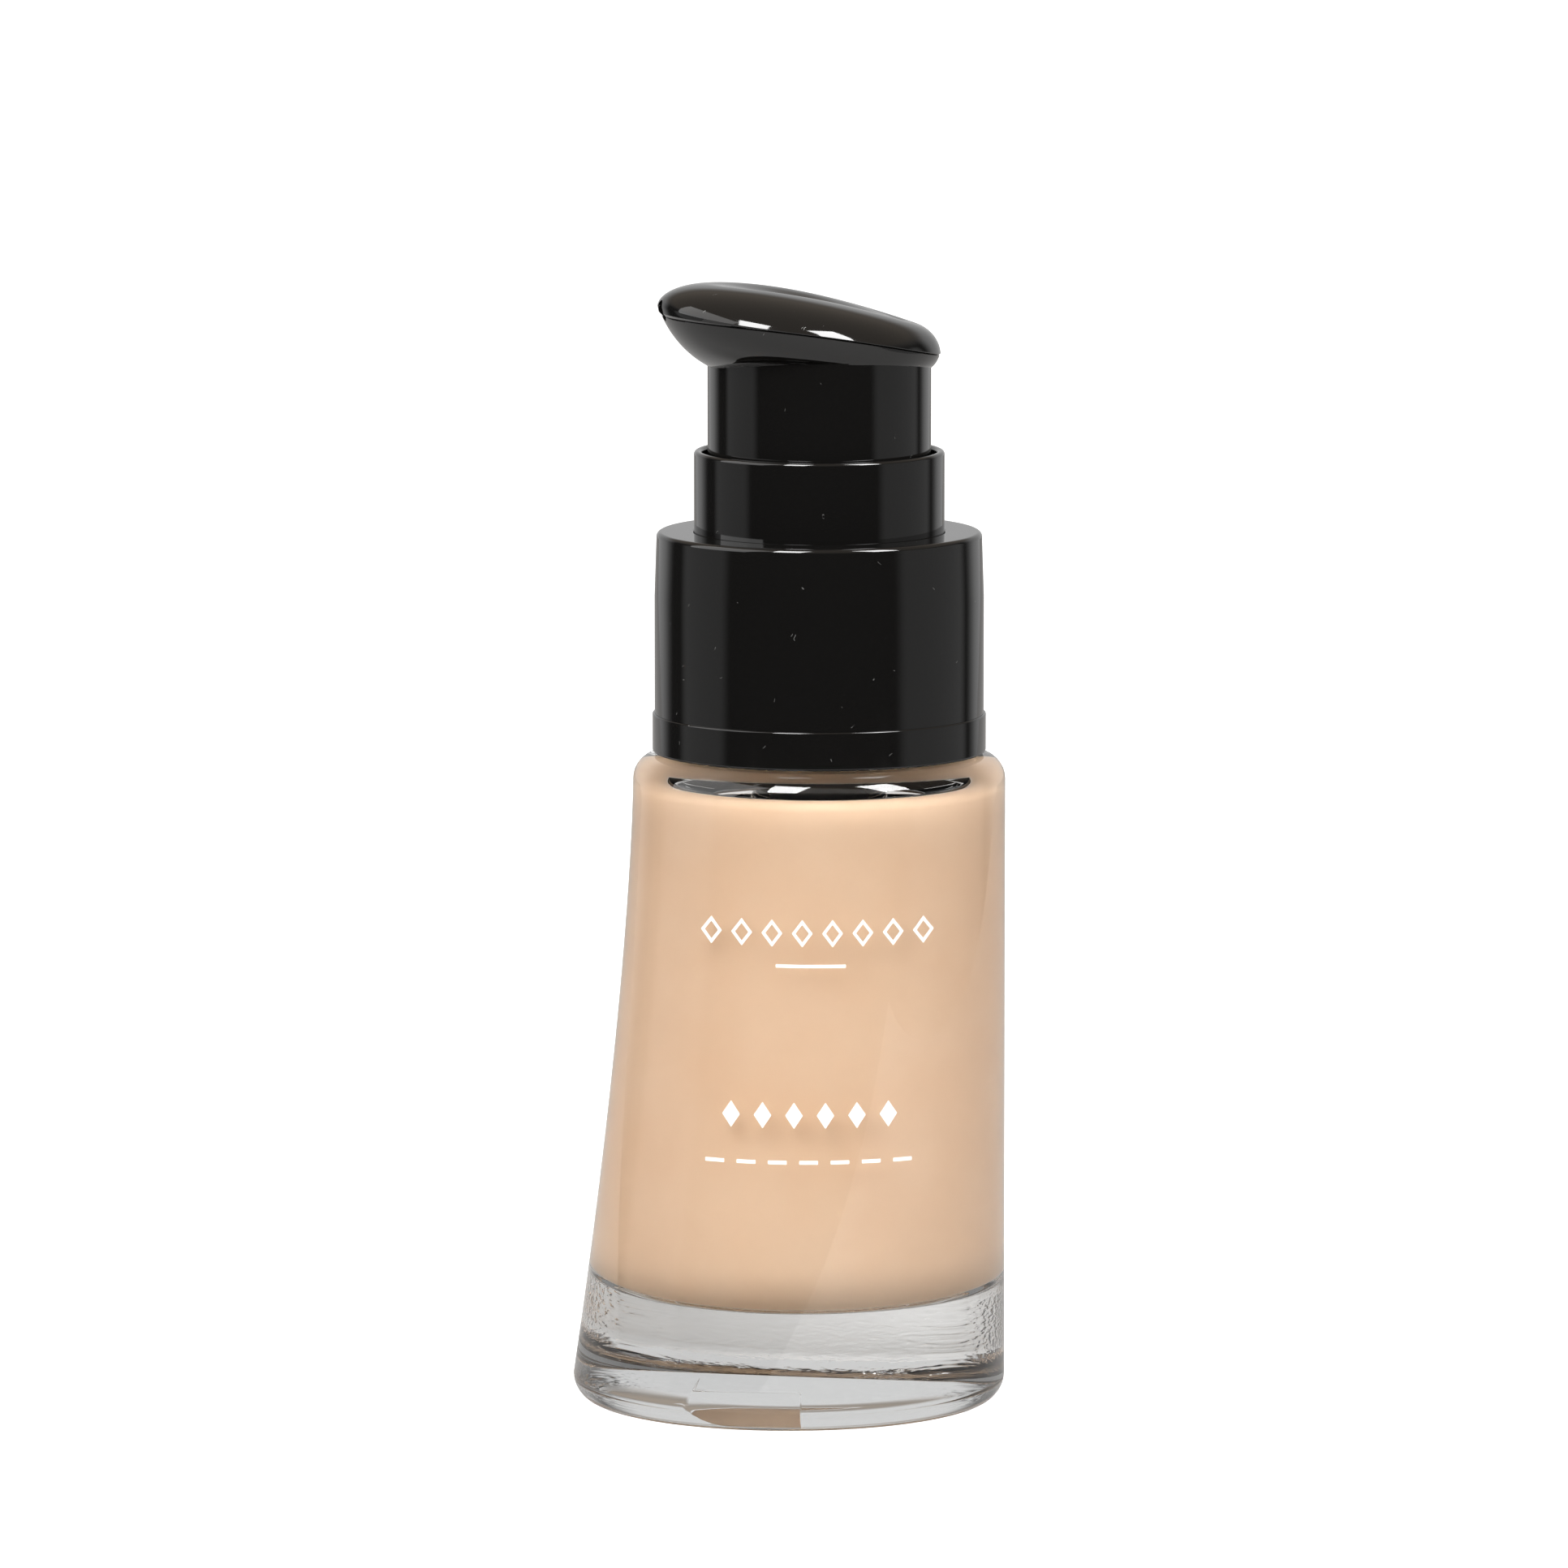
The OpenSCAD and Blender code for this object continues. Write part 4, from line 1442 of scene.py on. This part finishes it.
@dataclass
class Studio:
    """The pale floor, the soft lights and the camera."""

    aim: tuple[float, float, float] = (-0.45, 0.0, 57.47)
    eye: tuple[float, float, float] = (-0.45, -1268.0, 225.47)
    lens: float = 317.8
    floor_w: float = 600.0
    floor_l: float = 3300.0
    floor_front: float = 300.0
    floor_tone: float = 0.32
    floor_light: float = 0.12  # what the table gives off by itself
    floor_glow: float = 1.0  # what it gives off besides, to the camera only
    room_light: float = 0.03
    drop_light: float = 0.6
    ceiling_light: float = 0.3
    side_light: float = 0.35
    ceiling_tone: tuple[float, float, float] = (1.0, 0.86, 0.72)
    box_distance: float = 900.0
    box_size: tuple[float, float] = (285.0, 500.0)
    box_height: float = 47.0
    box_turns: tuple[float, float] = (-25.0, 53.0)
    box_power: float = 9.5
    fill_size: tuple[float, float] = (900.0, 900.0)
    fill_height: float = 30.0
    fill_turn: float = -78.0
    fill_power: float = 5.0

    def build(self) -> None:
        """Makes the floor, the world, the lights and the camera."""
        self._floor()
        self._world()
        for index, turn in enumerate(self.box_turns):
            self._softbox(f"softbox_{index}", (turn, self.box_height), self.box_size, self.box_power)
        self._softbox("fill", (self.fill_turn, self.fill_height), self.fill_size, self.fill_power)
        self._camera()

    def _floor(self) -> None:
        """A plain pale table that runs out of sight behind the bottle."""
        shape = bmesh.new()
        bmesh.ops.create_grid(shape, x_segments=2, y_segments=8, size=0.5)
        bmesh.ops.scale(shape, vec=(self.floor_w * MM, self.floor_l * MM, 1.0), verts=shape.verts)
        away = (self.floor_l / 2 - self.floor_front) * MM
        bmesh.ops.translate(shape, vec=(0, away, 0), verts=shape.verts)
        data = bpy.data.meshes.new("floor")
        shape.to_mesh(data)
        shape.free()
        floor = bpy.data.objects.new("floor", data)
        bpy.context.scene.collection.objects.link(floor)
        paper = bpy.data.materials.new("pale_paper")
        graph = Graph(paper)
        graph.shader.inputs["Specular IOR Level"].default_value = 0.0
        graph.shader.inputs["Roughness"].default_value = 0.9
        graph.shader.inputs["Base Color"].default_value = (*(self.floor_tone,) * 3, 1.0)
        graph.shader.inputs["Emission Color"].default_value = (1.0, 1.0, 1.0, 1.0)
        seen = Signal(graph, graph.node("ShaderNodeLightPath").outputs["Is Camera Ray"])
        graph.feed(graph.shader.inputs["Emission Strength"], self.floor_light + seen * self.floor_glow)
        data.materials.append(paper)

    def _world(self) -> None:
        """A white backdrop behind the bottle, a warm ceiling, dim side walls and a dark room in front."""
        world = bpy.data.worlds.new("studio")
        bpy.context.scene.world = world
        graph = Graph(world)
        toward = graph.node("ShaderNodeTexCoord").outputs["Generated"]
        parts = graph.node("ShaderNodeSeparateXYZ", None, {0: toward})
        across, back, up = (Signal(graph, parts.outputs[name]) for name in "XYZ")
        drop = back.rise(0.55, 0.8) * up.rise(0.5, 0.3)
        ceiling = up.rise(0.3, 0.55)
        right = across.rise(0.8, 0.9) * up.rise(0.35, 0.25)
        left = across.rise(-0.9, -0.96) * up.rise(0.35, 0.25)
        surround = drop * self.drop_light + ceiling * self.ceiling_light
        light = self.room_light + surround + right * self.side_light + left * self.side_light
        seen = Signal(graph, graph.node("ShaderNodeLightPath").outputs["Is Camera Ray"])
        tone = graph.blend(ceiling, (1.0, 1.0, 1.0), self.ceiling_tone)
        graph.feed(graph.shader.inputs["Color"], tone)
        graph.feed(graph.shader.inputs["Strength"], light + seen * (1.0 - light))

    def _softbox(
        self, name: str, bearing: tuple[float, float], size: tuple[float, float], power: float
    ) -> None:
        """Hangs a soft light that faces the bottle.

        Args:
            name: the light's name.
            bearing: its turn from the camera's side and its height, in degrees.
            size: its two sides, in millimetres.
            power: its power, in watts.
        """
        data = bpy.data.lights.new(name, "AREA")
        data.shape = "RECTANGLE"
        data.size, data.size_y = (side * MM for side in size)
        data.energy = power
        lamp = bpy.data.objects.new(name, data)
        bpy.context.scene.collection.objects.link(lamp)
        turn, height = (math.radians(angle) for angle in bearing)
        level = math.cos(height)
        away = Vector((math.sin(turn) * level, -math.cos(turn) * level, math.sin(height)))
        lamp.location = (Vector((0.0, 0.0, 70.0)) + away * self.box_distance) * MM
        lamp.rotation_mode = "QUATERNION"
        lamp.rotation_quaternion = (-away).to_track_quat("-Z", "Y")

    def _camera(self) -> None:
        """A long lens a little above the bottle, looking at its front."""
        data = bpy.data.cameras.new("camera")
        data.lens, data.sensor_width = self.lens, 36.0
        data.clip_start, data.clip_end = 0.05, 100.0
        camera = bpy.data.objects.new("camera", data)
        bpy.context.scene.collection.objects.link(camera)
        eye, aim = Vector(self.eye) * MM, Vector(self.aim) * MM
        camera.location = eye
        camera.rotation_mode = "QUATERNION"
        camera.rotation_quaternion = (aim - eye).to_track_quat("-Z", "Y")
        bpy.context.scene.camera = camera
        bpy.context.scene.view_settings.view_transform = "Standard"


def main() -> None:
    """Builds the bottle and its studio."""
    logging.basicConfig(level=logging.INFO, format="%(name)s: %(message)s")
    lathe = Lathe()
    Studio().build()
    GlassBottle().build(lathe)
    Closure().build(lathe)
    PumpHead().build(lathe)
    PumpWorks().dress()


if __name__ == "__main__":
    main()
